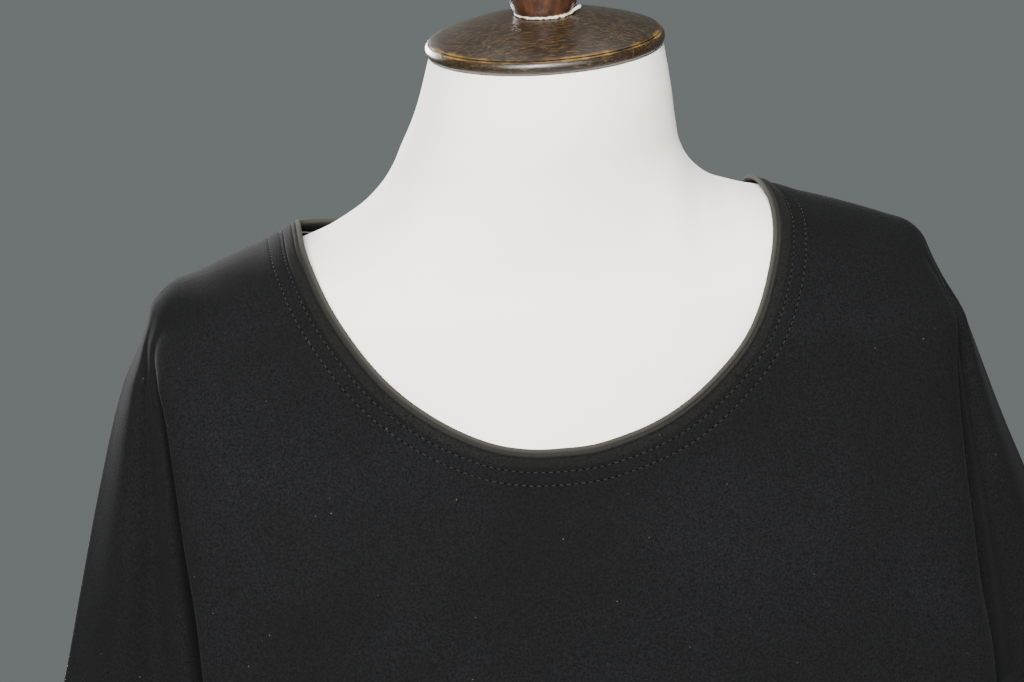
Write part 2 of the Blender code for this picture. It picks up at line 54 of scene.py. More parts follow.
def addNode(tree, kind, settings=None, links=None):  # a node with its settings, then its links
    node = tree.nodes.new(kind)
    for name, value in (settings or {}).items():
        if name == "stops":  # a colour ramp's places and colours
            while len(node.color_ramp.elements) < len(value):
                node.color_ramp.elements.new(0.5)
            for element, (stop, colour) in zip(node.color_ramp.elements, value):
                element.position, element.color = stop, colour
        elif isinstance(name, str) and name[0].islower():
            setattr(node, name, value)
        else:
            node.inputs[name].default_value = value
    for name, source in (links or {}).items():
        tree.links.new(source, node.inputs[name])
    return node


def newMaterial(name, settings):  # a material with its one shader, set directly
    material = bpy.data.materials.new(name)
    material.use_nodes = True
    shader = material.node_tree.nodes["Principled BSDF"]
    for key, value in settings.items():
        shader.inputs[key].default_value = value
    return material, material.node_tree, shader


def smoothCurve(places, values):  # reads a smooth curve through some values, with no overshoot
    order = sorted(range(len(places)), key=lambda k: places[k])
    places, values = [places[k] for k in order], [values[k] for k in order]
    steep = [(values[k + 1] - values[k]) / (places[k + 1] - places[k]) for k in range(len(places) - 1)]
    slopes = [steep[0]]
    for before, after in zip(steep, steep[1:]):
        slopes.append(2 * before * after / (before + after) if before * after > 0 else 0.0)
    slopes.append(steep[-1])

    def read(at):
        at = min(max(at, places[0]), places[-1])
        i = min(max(bisect.bisect_left(places, at) - 1, 0), len(steep) - 1)
        gap = places[i + 1] - places[i]
        t = (at - places[i]) / gap
        eased = values[i] + (values[i + 1] - values[i]) * t * t * (3 - 2 * t)
        return eased + gap * t * (1 - t) * (slopes[i] * (1 - t) - slopes[i + 1] * t)

    return read


def reader(columns, rows):  # reads one named column of a table at a height
    heights = [row[0] for row in rows]
    curves = {name: smoothCurve(heights, [row[k] for row in rows]) for k, name in enumerate(columns)}
    return lambda name, at: curves[name](at)


def step(low, high, at):  # goes smoothly from 0 at low to 1 at high
    t = min(max((at - low) / (high - low), 0.0), 1.0)
    return t * t * (3 - 2 * t)


def runAlong(line):  # the distance along a line at each of its points
    return np.concatenate([[0], np.cumsum(np.linalg.norm(np.diff(line, axis=0), axis=1))])


def meshObject(name, points, faces, material, smooth=True):
    mesh = bpy.data.meshes.new(name)
    mesh.from_pydata([tuple(map(float, p)) for p in points], [], faces)
    mesh.validate()
    if smooth:
        mesh.shade_smooth()
    mesh.materials.append(material)
    made = bpy.data.objects.new(name, mesh)
    bpy.context.scene.collection.objects.link(made)
    return made


def ringFaces(rings, count, closed):  # quads between rings of equal count, each ring being closed
    faces = []
    for j in range(rings if closed else rings - 1):
        a, b = j * count, (j + 1) % rings * count
        for k in range(count):
            c = (k + 1) % count
            faces.append([a + k, b + k, b + c, a + c])
    return faces


def turnOutward(mesh):  # makes all the faces of a closed mesh point outward
    shaped = bmesh.new()
    shaped.from_mesh(mesh)
    bmesh.ops.recalc_face_normals(shaped, faces=shaped.faces)
    shaped.to_mesh(mesh)
    shaped.free()


def layFlat(mesh, places):  # stores each point's place on the flat cloth, in metres, as the UV map
    layer = mesh.uv_layers.new(name="cloth")
    loops = np.empty(len(mesh.loops), np.int32)
    mesh.loops.foreach_get("vertex_index", loops)
    layer.data.foreach_set("uv", places[loops].astype(np.float32).ravel())


def place(piece, slotName, *nodes):  # rides on the stand and hides the solids it stands for; its slot is not used
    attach(piece, "root")
    if nodes:
        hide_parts(*nodes)
    return piece


# the dress form's and the cloth's shape

clothSizes = {
    "wall": 0.0013, "gap": 0.0022, "seamGap": 0.0003, "hem": 0.500, "underarm": 1.160, "cuff": 1.075,
    "cuffSlope": 0.24, "yokeEnd": 1.235, "restEnd": 1.400, "hangStart": 1.352,
}
neckSizes = {
    "sideHeight": 1.4225, "shift": -0.003, "bandWidth": 0.0102, "bandGap": 0.0009,
    "bendDrop": 4.0, "panelStart": 0.0098, "top": 1.47, "pastSlope": 20.0, "softness": 0.004, "reach": 9,
    "halvings": 24,
}
leanSizes = {"side": 0.015, "top": (1.500, 1.430), "foot": (1.200, 1.320), "cap": 0.021,
             "capFade": (1.470, 1.505)}
seam, valley, fold, middle = 0.0, 16.5, 20.0, 90.0  # angles from the side, in degrees
sleevePlaces = {13.0: (0.15, 1.00), 9.0: (0.36, 0.74), 4.0: (0.70, 0.66)}  # ridge, trough, bulge

formColumns = ("height", "halfWidth", "front", "back", "midX", "midY", "tilt")
formRows = (
    (1.5094, 0.0596, 0.0529, 0.0529, 0.0050, -0.0235, 10.5),
    (1.4900, 0.0640, 0.0550, 0.0550, 0.0036, -0.0210, 10.5),
    (1.4740, 0.0680, 0.0565, 0.0575, 0.0018, -0.0165, 11.0),
    (1.4600, 0.0732, 0.0580, 0.0600, 0.0000, -0.0110, 12.0),
    (1.4470, 0.0815, 0.0600, 0.0625, 0.0000, -0.0060, 13.0),
    (1.4345, 0.0960, 0.0620, 0.0650, 0.0000, -0.0020, 13.0),
    (1.4225, 0.1225, 0.0635, 0.0680, 0.0000, 0.0010, 12.0),
    (1.4150, 0.1490, 0.0650, 0.0705, 0.0000, 0.0030, 11.0),
    (1.4070, 0.1750, 0.0670, 0.0730, 0.0000, 0.0045, 10.0),
    (1.3980, 0.1970, 0.0690, 0.0755, 0.0000, 0.0050, 8.0),
    (1.3890, 0.2035, 0.0715, 0.0780, 0.0000, 0.0050, 6.0),
    (1.3720, 0.2055, 0.0755, 0.0815, 0.0000, 0.0050, 4.0),
    (1.3450, 0.2005, 0.0820, 0.0860, 0.0000, 0.0050, 0.0),
    (1.3150, 0.1890, 0.0895, 0.0890, 0.0000, 0.0050, 0.0),
    (1.2800, 0.1780, 0.1050, 0.0900, 0.0000, 0.0040, 0.0),
    (1.2450, 0.1700, 0.1180, 0.0890, 0.0000, 0.0020, 0.0),
    (1.2000, 0.1600, 0.1120, 0.0830, 0.0000, 0.0000, 0.0),
    (1.1300, 0.1420, 0.0960, 0.0730, 0.0000, 0.0000, 0.0),
    (1.0600, 0.1300, 0.0860, 0.0700, 0.0000, 0.0000, 0.0),
    (0.9900, 0.1450, 0.0930, 0.0820, 0.0000, 0.0000, 0.0),
    (0.9200, 0.1640, 0.1010, 0.0960, 0.0000, 0.0020, 0.0),
    (0.8600, 0.1730, 0.1040, 0.1010, 0.0000, 0.0020, 0.0),
    (0.8100, 0.1720, 0.1010, 0.0970, 0.0000, 0.0020, 0.0),
    (0.7850, 0.1680, 0.0970, 0.0930, 0.0000, 0.0020, 0.0),
    (0.7750, 0.1560, 0.0850, 0.0820, 0.0000, 0.0020, 0.0),
)
# hollows where the neck meets the shoulders: how far across and how far down
hollowRows = ((-0.1550, 0.0000), (-0.1250, 0.0066), (-0.1100, 0.0062), (-0.0950, 0.0048), (-0.0800, 0.0028),
              (-0.0640, 0.0000), (0.0600, 0.0000), (0.0780, 0.0050), (0.0900, 0.0046), (0.1050, 0.0026),
              (0.1250, 0.0010), (0.1500, 0.0000))
hollowFade = (1.375, 1.410)
hangColumns = ("height", "seamX", "valleyX", "valleyY", "ridgeY", "foldX", "foldY", "middleY",
               "backFoldY", "backMiddleY", "sway")
hangRows = (
    (1.3950, 0.2020, 0.1980, 0.0180, 0.0210, 0.1940, 0.0260, 0.0665, 0.0300, 0.0800, 0.0000),
    (1.3750, 0.2140, 0.2085, 0.0260, 0.0260, 0.2085, 0.0330, 0.0735, 0.0400, 0.0880, 0.0010),
    (1.3600, 0.2205, 0.2065, 0.0300, 0.0330, 0.2055, 0.0450, 0.0775, 0.0500, 0.0920, 0.0020),
    (1.3350, 0.2298, 0.2020, 0.0280, 0.0390, 0.2015, 0.0580, 0.0820, 0.0600, 0.0955, 0.0018),
    (1.3000, 0.2412, 0.1990, 0.0230, 0.0440, 0.1990, 0.0690, 0.0950, 0.0680, 0.0980, 0.0025),
    (1.2450, 0.2595, 0.1965, 0.0150, 0.0490, 0.1985, 0.0790, 0.1190, 0.0730, 0.0985, 0.0055),
    (1.1900, 0.2775, 0.1950, 0.0060, 0.0520, 0.2010, 0.0850, 0.1215, 0.0770, 0.0980, 0.0085),
    (1.1600, 0.2860, 0.1945, 0.0000, 0.0530, 0.2025, 0.0870, 0.1220, 0.0790, 0.0980, 0.0085),
    (1.0800, 0.3050, 0.1925, 0.0000, 0.0500, 0.2045, 0.0880, 0.1230, 0.0800, 0.1000, 0.0060),
    (0.9500, 0.3050, 0.1970, 0.0000, 0.0500, 0.2060, 0.0800, 0.1250, 0.0720, 0.1120, 0.0020),
    (0.8000, 0.3050, 0.2100, 0.0000, 0.0500, 0.2090, 0.0690, 0.1290, 0.0640, 0.1210, 0.0000),
    (0.6500, 0.3050, 0.2230, 0.0000, 0.0500, 0.2130, 0.0620, 0.1330, 0.0580, 0.1280, 0.0000),
    (0.5000, 0.3050, 0.2350, 0.0000, 0.0500, 0.2180, 0.0560, 0.1370, 0.0530, 0.1330, 0.0000),
)
sleeveColumns = ("height", "innerX")
sleeveRows = ((1.1600, 0.1945), (1.1450, 0.2030), (1.0750, 0.2080))
# how far the neck edge hangs below its height at the sides: across from the middle, and down
frontEdgeRows = (
    (-0.1222, 0.0000), (-0.1215, 0.0053), (-0.1180, 0.0163), (-0.1120, 0.0310), (-0.1040, 0.0452),
    (-0.0950, 0.0582), (-0.0820, 0.0730), (-0.0660, 0.0861), (-0.0500, 0.0957), (-0.0320, 0.1027),
    (-0.0120, 0.1056), (0.0060, 0.1056), (0.0300, 0.1014), (0.0480, 0.0954), (0.0640, 0.0867),
    (0.0800, 0.0741), (0.0940, 0.0598), (0.1040, 0.0450), (0.1110, 0.0298), (0.1160, 0.0167),
    (0.1190, 0.0070), (0.1210, 0.0000))
backEdgeRows = ((0.0000, 0.0095), (0.0400, 0.0088), (0.0800, 0.0060), (0.1050, 0.0025), (0.1235, 0.0000))
waveSizes = {"count": 5, "depth": 0.0080, "start": 1.100, "fade": 30.0}

formSize = reader(formColumns, formRows)
hangSize = reader(hangColumns, hangRows)
sleeveSize = reader(sleeveColumns, sleeveRows)
hollow = smoothCurve(*zip(*hollowRows))
frontEdge = smoothCurve(*zip(*frontEdgeRows))
backEdge = smoothCurve(*zip(*backEdgeRows))


def formReach(front, height):  # how far the form's middle reaches in front of, or behind, the seams
    depth = formSize("front" if front else "back", height)
    return depth - formSize("midY", height) if front else depth + formSize("midY", height)


def formPoint(turn, height):  # turn is 0 at +X, 90 at the front and -90 at the back
    turn = math.radians(turn)
    depth = formSize("front" if math.sin(turn) > 0 else "back", height)
    x = formSize("midX", height) + formSize("halfWidth", height) * math.cos(turn)
    ahead = -depth * math.sin(turn)
    lean = math.tan(math.radians(formSize("tilt", height)))
    sideLean = leanSizes["side"] * step(*leanSizes["top"], height) * step(*leanSizes["foot"], height)
    sideLean += leanSizes["cap"] * step(*leanSizes["capFade"], height)
    return np.array([x, formSize("midY", height) + ahead, height + ahead * lean + sideLean * x])


def skinPoint(turn, height):  # the form's own skin, with its hollows beside the neck
    where = formPoint(turn, height)
    where[2] -= hollow(where[0]) * step(*hollowFade, height)
    return where


def outward(surface, turn, height):  # the unit direction straight out of a surface
    along = surface(turn + 0.5, height) - surface(turn - 0.5, height)
    down = surface(turn, height - 0.0004) - surface(turn, height + 0.0004)
    out = np.cross(along, down)
    return out / np.linalg.norm(out)


def restPoint(turn, height):  # the cloth's inner face where it lies on the form
    return formPoint(turn, height) + clothSizes["gap"] * outward(formPoint, turn, height)


def curveThrough(keys, at):  # a smooth curve through key places, {angle: (x, y)}
    angles = sorted(keys)
    places = np.array([keys[a] for a in angles])
    slopes = np.gradient(places, np.array(angles), axis=0)
    i = int(np.clip(np.searchsorted(angles, at) - 1, 0, len(angles) - 2))
    gap = angles[i + 1] - angles[i]
    t = (at - angles[i]) / gap
    start, end = (1 + 2 * t) * (1 - t) ** 2, t * t * (3 - 2 * t)
    return (start * places[i] + end * places[i + 1]
            + gap * (t * (1 - t) ** 2 * slopes[i] - t * t * (1 - t) * slopes[i + 1]))


def sideAngle(turn):  # the angle from the nearer side, that side as 1 or -1, and whether it is in front
    if abs(turn) <= middle:
        return abs(turn), 1, turn >= 0
    return 180 - abs(turn), -1, turn >= 0


def sideKeys(height, innerX, innerY):  # one sleeve's front half, from the outer seam in to the valley
    seamX, ridgeY = hangSize("seamX", height), hangSize("ridgeY", height)
    keys = {seam: (seamX, 0.0), valley: (innerX, -innerY)}
    for angle, (share, depth) in sleevePlaces.items():
        keys[angle] = (innerX + share * (seamX - innerX), -depth * ridgeY)
    return keys


def wave(angle, height):  # the skirt's soft waves
    grown = step(waveSizes["start"], clothSizes["hem"], height) * step(valley, waveSizes["fade"], angle)
    across = (angle - valley) / (middle - valley)
    return waveSizes["depth"] * grown * math.cos(math.pi * waveSizes["count"] * across)


def hangPoint(turn, height):  # the cloth's inner face where it hangs clear of the form
    angle, side, front = sideAngle(turn)
    foldX = hangSize("foldX", height)
    foldY = hangSize("foldY" if front else "backFoldY", height)
    middleY = hangSize("middleY" if front else "backMiddleY", height)
    middleY = max(middleY, formReach(front, height) + clothSizes["gap"])
    if angle < fold:
        keys = sideKeys(height, hangSize("valleyX", height), hangSize("valleyY", height))
        keys[fold] = (foldX, -foldY)
        past = math.radians(90 / (middle - fold)) * (fold - valley)
        keys[2 * fold - valley] = (foldX * math.cos(past), -foldY - (middleY - foldY) * math.sin(past))
        x, y = curveThrough(keys, angle)
    else:
        roundIt = math.radians((angle - fold) * 90 / (middle - fold))
        x, y = foldX * math.cos(roundIt), -foldY - (middleY - foldY) * math.sin(roundIt)
    y -= wave(angle, height)
    return np.array([side * x + hangSize("sway", height), y if front else -y, height])


def clothPoint(turn, height):
    if height >= clothSizes["restEnd"]:
        return restPoint(turn, height)
    if height <= clothSizes["hangStart"]:
        return hangPoint(turn, height)
    share = step(clothSizes["restEnd"], clothSizes["hangStart"], height)
    return restPoint(turn, height) * (1 - share) + hangPoint(turn, height) * share


def sleevePoint(turn, height):  # below the underarm, where a sleeve is a tube of its own
    angle, side, front = sideAngle(turn)
    keys = sideKeys(height, sleeveSize("innerX", height), 0.0)
    x, y = curveThrough(keys, angle)
    down = (clothSizes["underarm"] - height) / (clothSizes["underarm"] - clothSizes["cuff"])
    z = height + clothSizes["cuffSlope"] * down * (x - keys[valley][0])
    return np.array([side * x + hangSize("sway", height), y if front else -y, z])


def edgeHeight(front, across):  # the neck opening's edge at a distance from the middle, left being negative
    past = max(0.0, across - frontEdgeRows[-1][0], frontEdgeRows[0][0] - across)
    drop = frontEdge(across) if front else backEdge(abs(across))
    return neckSizes["sideHeight"] - drop + neckSizes["pastSlope"] * past


@functools.lru_cache(maxsize=None)
def neckHeight(turn):  # where the neck opening's edge crosses the cloth at one turn
    low, high = clothSizes["yokeEnd"], neckSizes["top"]
    for _ in range(neckSizes["halvings"]):
        halfway = (low + high) / 2
        point = clothPoint(turn, halfway)
        if point[2] > edgeHeight(turn >= 0, point[0] - neckSizes["shift"]):
            high = halfway
        else:
            low = halfway
    return (low + high) / 2


def signed(turn):
    return turn if turn <= 180 else turn - 360


@functools.lru_cache(maxsize=None)
def neckLoop(count):  # evenly spaced points round the neck opening's edge, with the way out
    turns = list(range(361))
    closed = np.array([clothPoint(signed(t), neckHeight(signed(t))) for t in turns])
    run = runAlong(closed)
    at = np.linspace(0, run[-1], count + 1)[:-1]
    loop = np.stack([np.interp(at, run, closed[:, k]) for k in range(3)], axis=1)
    out = np.array([outward(clothPoint, t, neckHeight(t)) for t in map(signed, np.interp(at, run, turns))])
    reach = range(-neckSizes["reach"], neckSizes["reach"] + 1)
    weights = [math.exp(-0.5 * (k * run[-1] / count / neckSizes["softness"]) ** 2) for k in reach]
    loop, out = (sum(w * np.roll(v, k, axis=0) for k, w in zip(reach, weights)) / sum(weights)
                 for v in (loop, out))
    return loop, out / np.linalg.norm(out, axis=1)[:, None]


# materials

def knitMaterial(name, look):
    # Cotton jersey, a fine single knit: matt, with a soft nap that lightens it where it turns away.
    # Its wales are under half a millimetre apart, so they are drawn as 2 mm ribs in low relief and as a
    # mottle about 1 mm across, which just show. Pale lint sits on it here and there.
    material, tree, shader = newMaterial(name, {
        "Roughness": look["roughness"], "Specular IOR Level": 0.08,
        "Sheen Weight": look["sheen"], "Sheen Roughness": 0.45, "Sheen Tint": linear(look["nap"])})
    uv = addNode(tree, "ShaderNodeUVMap", {"uv_map": "cloth"}).outputs["UV"]
    coords = addNode(tree, "ShaderNodeTexCoord").outputs["Object"]
    wales = addNode(tree, "ShaderNodeTexWave", {
        "bands_direction": "X", "Scale": look["ribs"], "Distortion": 2.0, "Detail": 2.0, "Detail Scale": 3.0},
        {"Vector": uv})
    mottle = addNode(tree, "ShaderNodeTexNoise", {"Scale": 900.0, "Detail": 2.0, "Roughness": 0.6},
                     {"Vector": coords})
    cloud = addNode(tree, "ShaderNodeTexNoise", {"Scale": 14.0, "Detail": 2.0}, {"Vector": coords})
    lint = addNode(tree, "ShaderNodeTexVoronoi", {"Scale": 260.0, "Randomness": 1.0}, {"Vector": coords})
    fleck = addNode(tree, "ShaderNodeMapRange", {"From Min": 0.13, "From Max": 0.05},
                    {"Value": lint.outputs["Distance"]})
    chance = addNode(tree, "ShaderNodeSeparateColor", None, {"Color": lint.outputs["Color"]})
    rare = addNode(tree, "ShaderNodeMapRange", {"From Min": look["lintFrom"], "From Max": look["lintFull"]},
                   {"Value": chance.outputs["Red"]})
    shown = addNode(tree, "ShaderNodeMath", {"operation": "MULTIPLY"},
                    {0: fleck.outputs["Result"], 1: rare.outputs["Result"]})
    grade = addNode(tree, "ShaderNodeMapRange", {"From Min": 0.30, "From Max": 0.70},
                    {"Value": mottle.outputs["Fac"]})
    shades = {"data_type": "RGBA", 6: linear(look["dark"]), 7: linear(look["light"])}
    tone = addNode(tree, "ShaderNodeMix", shades, {0: grade.outputs["Result"]})
    warm = addNode(tree, "ShaderNodeMix", {"data_type": "RGBA", 7: linear(look["warm"])},
                   {0: cloud.outputs["Fac"], 6: tone.outputs[2]})
    dusted = addNode(tree, "ShaderNodeMix", {"data_type": "RGBA", 7: linear(look["lint"])},
                     {0: shown.outputs["Value"], 6: warm.outputs[2]})
    # painted highlight: the band's folded edge is drawn paler over its first 4 mm, for the light it catches;
    # the panels' maps begin far past it
    across = addNode(tree, "ShaderNodeSeparateXYZ", None, {"Vector": uv})
    rolled = addNode(tree, "ShaderNodeMapRange", {"From Min": 0.0046, "From Max": 0.0008},
                     {"Value": across.outputs["Y"]})
    rollHighlighted = addNode(tree, "ShaderNodeMix", {"data_type": "RGBA", 7: linear(look["rolled"])},
                    {0: rolled.outputs["Result"], 6: dusted.outputs[2]})
    tree.links.new(rollHighlighted.outputs[2], shader.inputs["Base Color"])
    height = addNode(tree, "ShaderNodeMath", {"operation": "MULTIPLY_ADD", 1: 0.25},
                     {0: wales.outputs["Fac"], 2: mottle.outputs["Fac"]})
    bump = addNode(tree, "ShaderNodeBump", {"Strength": look["bump"], "Distance": 0.0004},
                   {"Height": height.outputs["Value"]})
    tree.links.new(bump.outputs["Normal"], shader.inputs["Normal"])
    return material


jersey = knitMaterial("cottonJerseyBlack", {
    "dark": "#070708", "light": "#19191b", "warm": "#0b0b0b", "nap": "#8c8c90", "roughness": 1.0,
    "sheen": 0.03, "ribs": 160.0, "bump": 0.40, "lint": "#3f3e3a", "lintFrom": 0.955, "lintFull": 0.985,
    "rolled": "#131313"})
# the folded band's last colour is a painted highlight along its folded edge
bandJersey = knitMaterial("cottonJerseyBlackFolded", {
    "dark": "#090909", "light": "#1e1e1e", "warm": "#10100f", "nap": "#98968f", "roughness": 1.0,
    "sheen": 0.05, "ribs": 160.0, "bump": 0.35, "lint": "#3f3e3a", "lintFrom": 0.98, "lintFull": 1.01,
    "rolled": "#34332f"})


def threadMaterial():
    # Spun polyester thread, black: a little glossier and lighter than the knit in which it sits.
    material, tree, shader = newMaterial("polyesterThreadBlack", {
        "Base Color": linear("#171716"), "Roughness": 0.7, "Sheen Weight": 0.05, "Specular IOR Level": 0.2})
    coords = addNode(tree, "ShaderNodeTexCoord").outputs["Object"]
    twist = addNode(tree, "ShaderNodeTexNoise", {"Scale": 2500.0, "Detail": 1.0}, {"Vector": coords})
    bump = addNode(tree, "ShaderNodeBump", {"Strength": 0.4, "Distance": 0.0002},
                   {"Height": twist.outputs["Fac"]})
    tree.links.new(bump.outputs["Normal"], shader.inputs["Normal"])
    return material


def holeShadeMaterial():
    # Painted shade: a dark, fully matt blob stands for the shaded hole that a needle leaves beside each stitch.
    material, tree, shader = newMaterial("needleHoleShade", {
        "Base Color": linear("#050505"), "Roughness": 1.0, "Specular IOR Level": 0.0})
    coords = addNode(tree, "ShaderNodeTexCoord").outputs["Object"]
    fuzz = addNode(tree, "ShaderNodeTexNoise", {"Scale": 1500.0, "Detail": 1.0}, {"Vector": coords})
    bump = addNode(tree, "ShaderNodeBump", {"Strength": 0.3, "Distance": 0.0002},
                   {"Height": fuzz.outputs["Fac"]})
    tree.links.new(bump.outputs["Normal"], shader.inputs["Normal"])
    return material


def coverMaterial():
    # Stretch cotton cover, off-white and matt, pulled tight over padding: a fine plain surface, a little
    # yellowed. Its threads are 0.3 mm apart and drawn as 0.8 mm cells, which just show.
    material, tree, shader = newMaterial("stretchCottonOffWhite", {
        "Roughness": 0.88, "Specular IOR Level": 0.3, "Sheen Weight": 0.15, "Sheen Roughness": 0.5,
        "Subsurface Weight": 0.05, "Subsurface Scale": 0.004})
    coords = addNode(tree, "ShaderNodeTexCoord").outputs["Object"]
    yellowing = addNode(tree, "ShaderNodeTexNoise", {"Scale": 9.0, "Detail": 3.0}, {"Vector": coords})
    fine = addNode(tree, "ShaderNodeTexNoise", {"Scale": 1200.0, "Detail": 2.0, "Roughness": 0.7},
                   {"Vector": coords})
    tone = addNode(tree, "ShaderNodeMix", {"data_type": "RGBA", 6: linear("#f6f4ea"), 7: linear("#f0ecdf")},
                   {0: yellowing.outputs["Fac"]})
    tree.links.new(tone.outputs[2], shader.inputs["Base Color"])
    bump = addNode(tree, "ShaderNodeBump", {"Strength": 0.25, "Distance": 0.0003},
                   {"Height": fine.outputs["Fac"]})
    tree.links.new(bump.outputs["Normal"], shader.inputs["Normal"])
    return material


def woodMaterial(name, look):
    # Turned hardwood, stained and varnished: straight fine grain, a soft gloss, and a rim that hands have
    # rubbed lighter. The grain is 1 to 5 mm long and the pores a third of a millimetre wide.
    material, tree, shader = newMaterial(name, {
        "Roughness": look["roughness"], "IOR": 1.5, "Coat Weight": 0.15, "Coat Roughness": 0.2})
    coords = addNode(tree, "ShaderNodeTexCoord").outputs["Object"]
    along = addNode(tree, "ShaderNodeMapping", {"Scale": look["grain"]}, {"Vector": coords})
    grain = addNode(tree, "ShaderNodeTexNoise", {
        "Scale": 1.0, "Detail": 6.0, "Roughness": 0.65, "Distortion": 0.4}, {"Vector": along.outputs["Vector"]})
    pores = addNode(tree, "ShaderNodeTexNoise", {"Scale": 3.2, "Detail": 2.0, "Roughness": 0.8},
                    {"Vector": along.outputs["Vector"]})
    tone = addNode(tree, "ShaderNodeValToRGB", {"stops": (
        (0.32, linear(look["dark"])), (0.52, linear(look["mid"])), (0.70, linear(look["light"])))},
        {"Fac": grain.outputs["Fac"]})
    wear = addNode(tree, "ShaderNodeAttribute", {"attribute_name": "wear"})
    patchy = addNode(tree, "ShaderNodeTexNoise", {"Scale": 60.0, "Detail": 4.0, "Roughness": 0.7},
                     {"Vector": coords})
    worn = addNode(tree, "ShaderNodeMath", {"operation": "ADD"},
                   {0: patchy.outputs["Fac"], 1: wear.outputs["Fac"]})
    shownWear = addNode(tree, "ShaderNodeMapRange", {"From Min": 0.95, "From Max": 1.25},
                        {"Value": worn.outputs["Value"]})
    rubbed = addNode(tree, "ShaderNodeMix", {"data_type": "RGBA", 7: linear(look["worn"])},
                     {0: shownWear.outputs["Result"], 6: tone.outputs["Color"]})
    tree.links.new(rubbed.outputs[2], shader.inputs["Base Color"])
    height = addNode(tree, "ShaderNodeMath", {"operation": "ADD"},
                     {0: grain.outputs["Fac"], 1: pores.outputs["Fac"]})
    bump = addNode(tree, "ShaderNodeBump", {"Strength": 0.22, "Distance": 0.0004},
                   {"Height": height.outputs["Value"]})
    tree.links.new(bump.outputs["Normal"], shader.inputs["Normal"])
    return material


def glueMaterial():
    # Dried bead of white wood glue: milky, waxy and uneven.
    material, tree, shader = newMaterial("driedWoodGlue", {
        "Base Color": linear("#b9afa0"), "Roughness": 0.5, "Subsurface Weight": 0.2,
        "Subsurface Scale": 0.002})
    coords = addNode(tree, "ShaderNodeTexCoord").outputs["Object"]
    lumps = addNode(tree, "ShaderNodeTexNoise", {"Scale": 700.0, "Detail": 3.0}, {"Vector": coords})
    bump = addNode(tree, "ShaderNodeBump", {"Strength": 0.5, "Distance": 0.0004},
                   {"Height": lumps.outputs["Fac"]})
    tree.links.new(bump.outputs["Normal"], shader.inputs["Normal"])
    return material


def paintedSteel():
    # Powder-coated steel, black satin: a faint orange-peel surface from the baked powder.
    material, tree, shader = newMaterial("powderCoatBlack", {
        "Base Color": linear("#1d1d1f"), "Roughness": 0.42, "IOR": 1.5})
    coords = addNode(tree, "ShaderNodeTexCoord").outputs["Object"]
    peel = addNode(tree, "ShaderNodeTexNoise", {"Scale": 650.0, "Detail": 2.0}, {"Vector": coords})
    bump = addNode(tree, "ShaderNodeBump", {"Strength": 0.12, "Distance": 0.0005},
                   {"Height": peel.outputs["Fac"]})
    tree.links.new(bump.outputs["Normal"], shader.inputs["Normal"])
    return material


thread = threadMaterial()
darkHoleShade = holeShadeMaterial()
cover = coverMaterial()
capWood = woodMaterial("stainedOakDark", {
    "dark": "#0f0a05", "mid": "#20160b", "light": "#584226", "worn": "#7d5f2d", "roughness": 0.34,
    "grain": (200.0, 1300.0, 1300.0)})
finialWood = woodMaterial("stainedBeechRed", {
    "dark": "#22140d", "mid": "#3d2519", "light": "#543522", "worn": "#6a452c", "roughness": 0.34,
    "grain": (200.0, 200.0, 30.0)})
glue = glueMaterial()
steel = paintedSteel()
print("materials made")


# front and back panels

panelDetail = {
    "seamTurns": (0.0, 0.10, 0.22, 0.40, 0.65, 1.0, 1.5, 2.1),  # close together beside the overarm seam
    "sleeveStep": 0.75, "sideStep": 0.22, "faceStep": 1.2,
    "neckRows": (0.0, 0.2, 0.4, 0.7, 1.1, 1.5, 1.8, 2.1, 2.4, 2.9, 3.6, 4.6, 6.2, 7.6, 8.1, 8.4, 8.7, 9.0,
                 9.4, 10.0, 11.0, 12.6, 15.0),  # mm from the neck band's seam
    "yokeRows": 54, "chestRows": 14, "skirtRows": 64, "cuffRows": 16, "samples": 150, "bendWeight": 0.060,
    "nearNeck": 0.075, "loopPoints": 480,
    "visibleWall": 0.0009,  # the knit's own thickness
    "slack": 0.0019,        # how far it may sink towards the form
    "hemWidth": 0.025, "cuffHemWidth": 0.020,
}
# how far the cloth stands out, in mm, at a distance in mm from the neck band's seam
neckRelief = smoothCurve(*zip(
    (0.0, -1.20), (0.2, -0.80), (0.4, -0.35), (0.7, -0.02), (1.1, 0.16), (1.5, 0.16), (1.8, -0.02),
    (2.1, -0.20), (2.4, -0.04), (2.9, 0.18), (4.2, 0.28), (6.2, 0.26), (7.8, 0.10), (8.3, -0.10),
    (8.7, -0.28), (9.1, -0.16), (9.8, 0.0), (11.0, 0.03), (15.0, 0.0)))
# the same beside a sewn seam, where the edges turn in and leave a fine groove
seamRelief = smoothCurve(*zip((0.0, -0.28), (0.3, -0.12), (0.8, 0.04), (2.0, 0.05), (5.0, 0.0), (6.0, 0.0)))
shoulderSizes = {
    "heights": (1.385, 1.405), "closer": 0.0030, "stitched": 0.0006, "stitchedEnd": (9.5, 14.5),
    "endShare": 0.7, "leftEnd": (0.180, 0.196), "rightEnd": (0.189, 0.203),  # where it lies less close
    "sunk": 0.0009, "sunkAcross": (0.134, 0.142), "sunkHeights": (1.365, 1.385),
    "leftArm": 0.0002, "rightArm": -0.0009, "armWide": 0.045, "armHeights": (1.40, 1.37),
    "armAcross": (0.192, 0.205), "flatSeam": 0.85,
}
clothRelief = {
    "uneven": 0.0009, "scales": (11.0, 27.0), "fineShare": 0.4,  # the slack cloth's soft unevenness
    "slackHeights": (1.42, 1.30),           # it comes free of the form between these
    "neckFade": 50, "unevenFade": 80, "creaseFade": 60,  # one over the distance that each takes to grow
    "hemStep": 0.0004, "hemSoft": 0.0006,   # how far a turned hem stands out, and how softly it ends
    "rowDepth": 0.0002, "rowWidth": 0.0012, "near": 0.5,  # the dent along a row of stitches
    "creaseTaper": 0.7, "uvHeights": (1.33, 1.40),
}
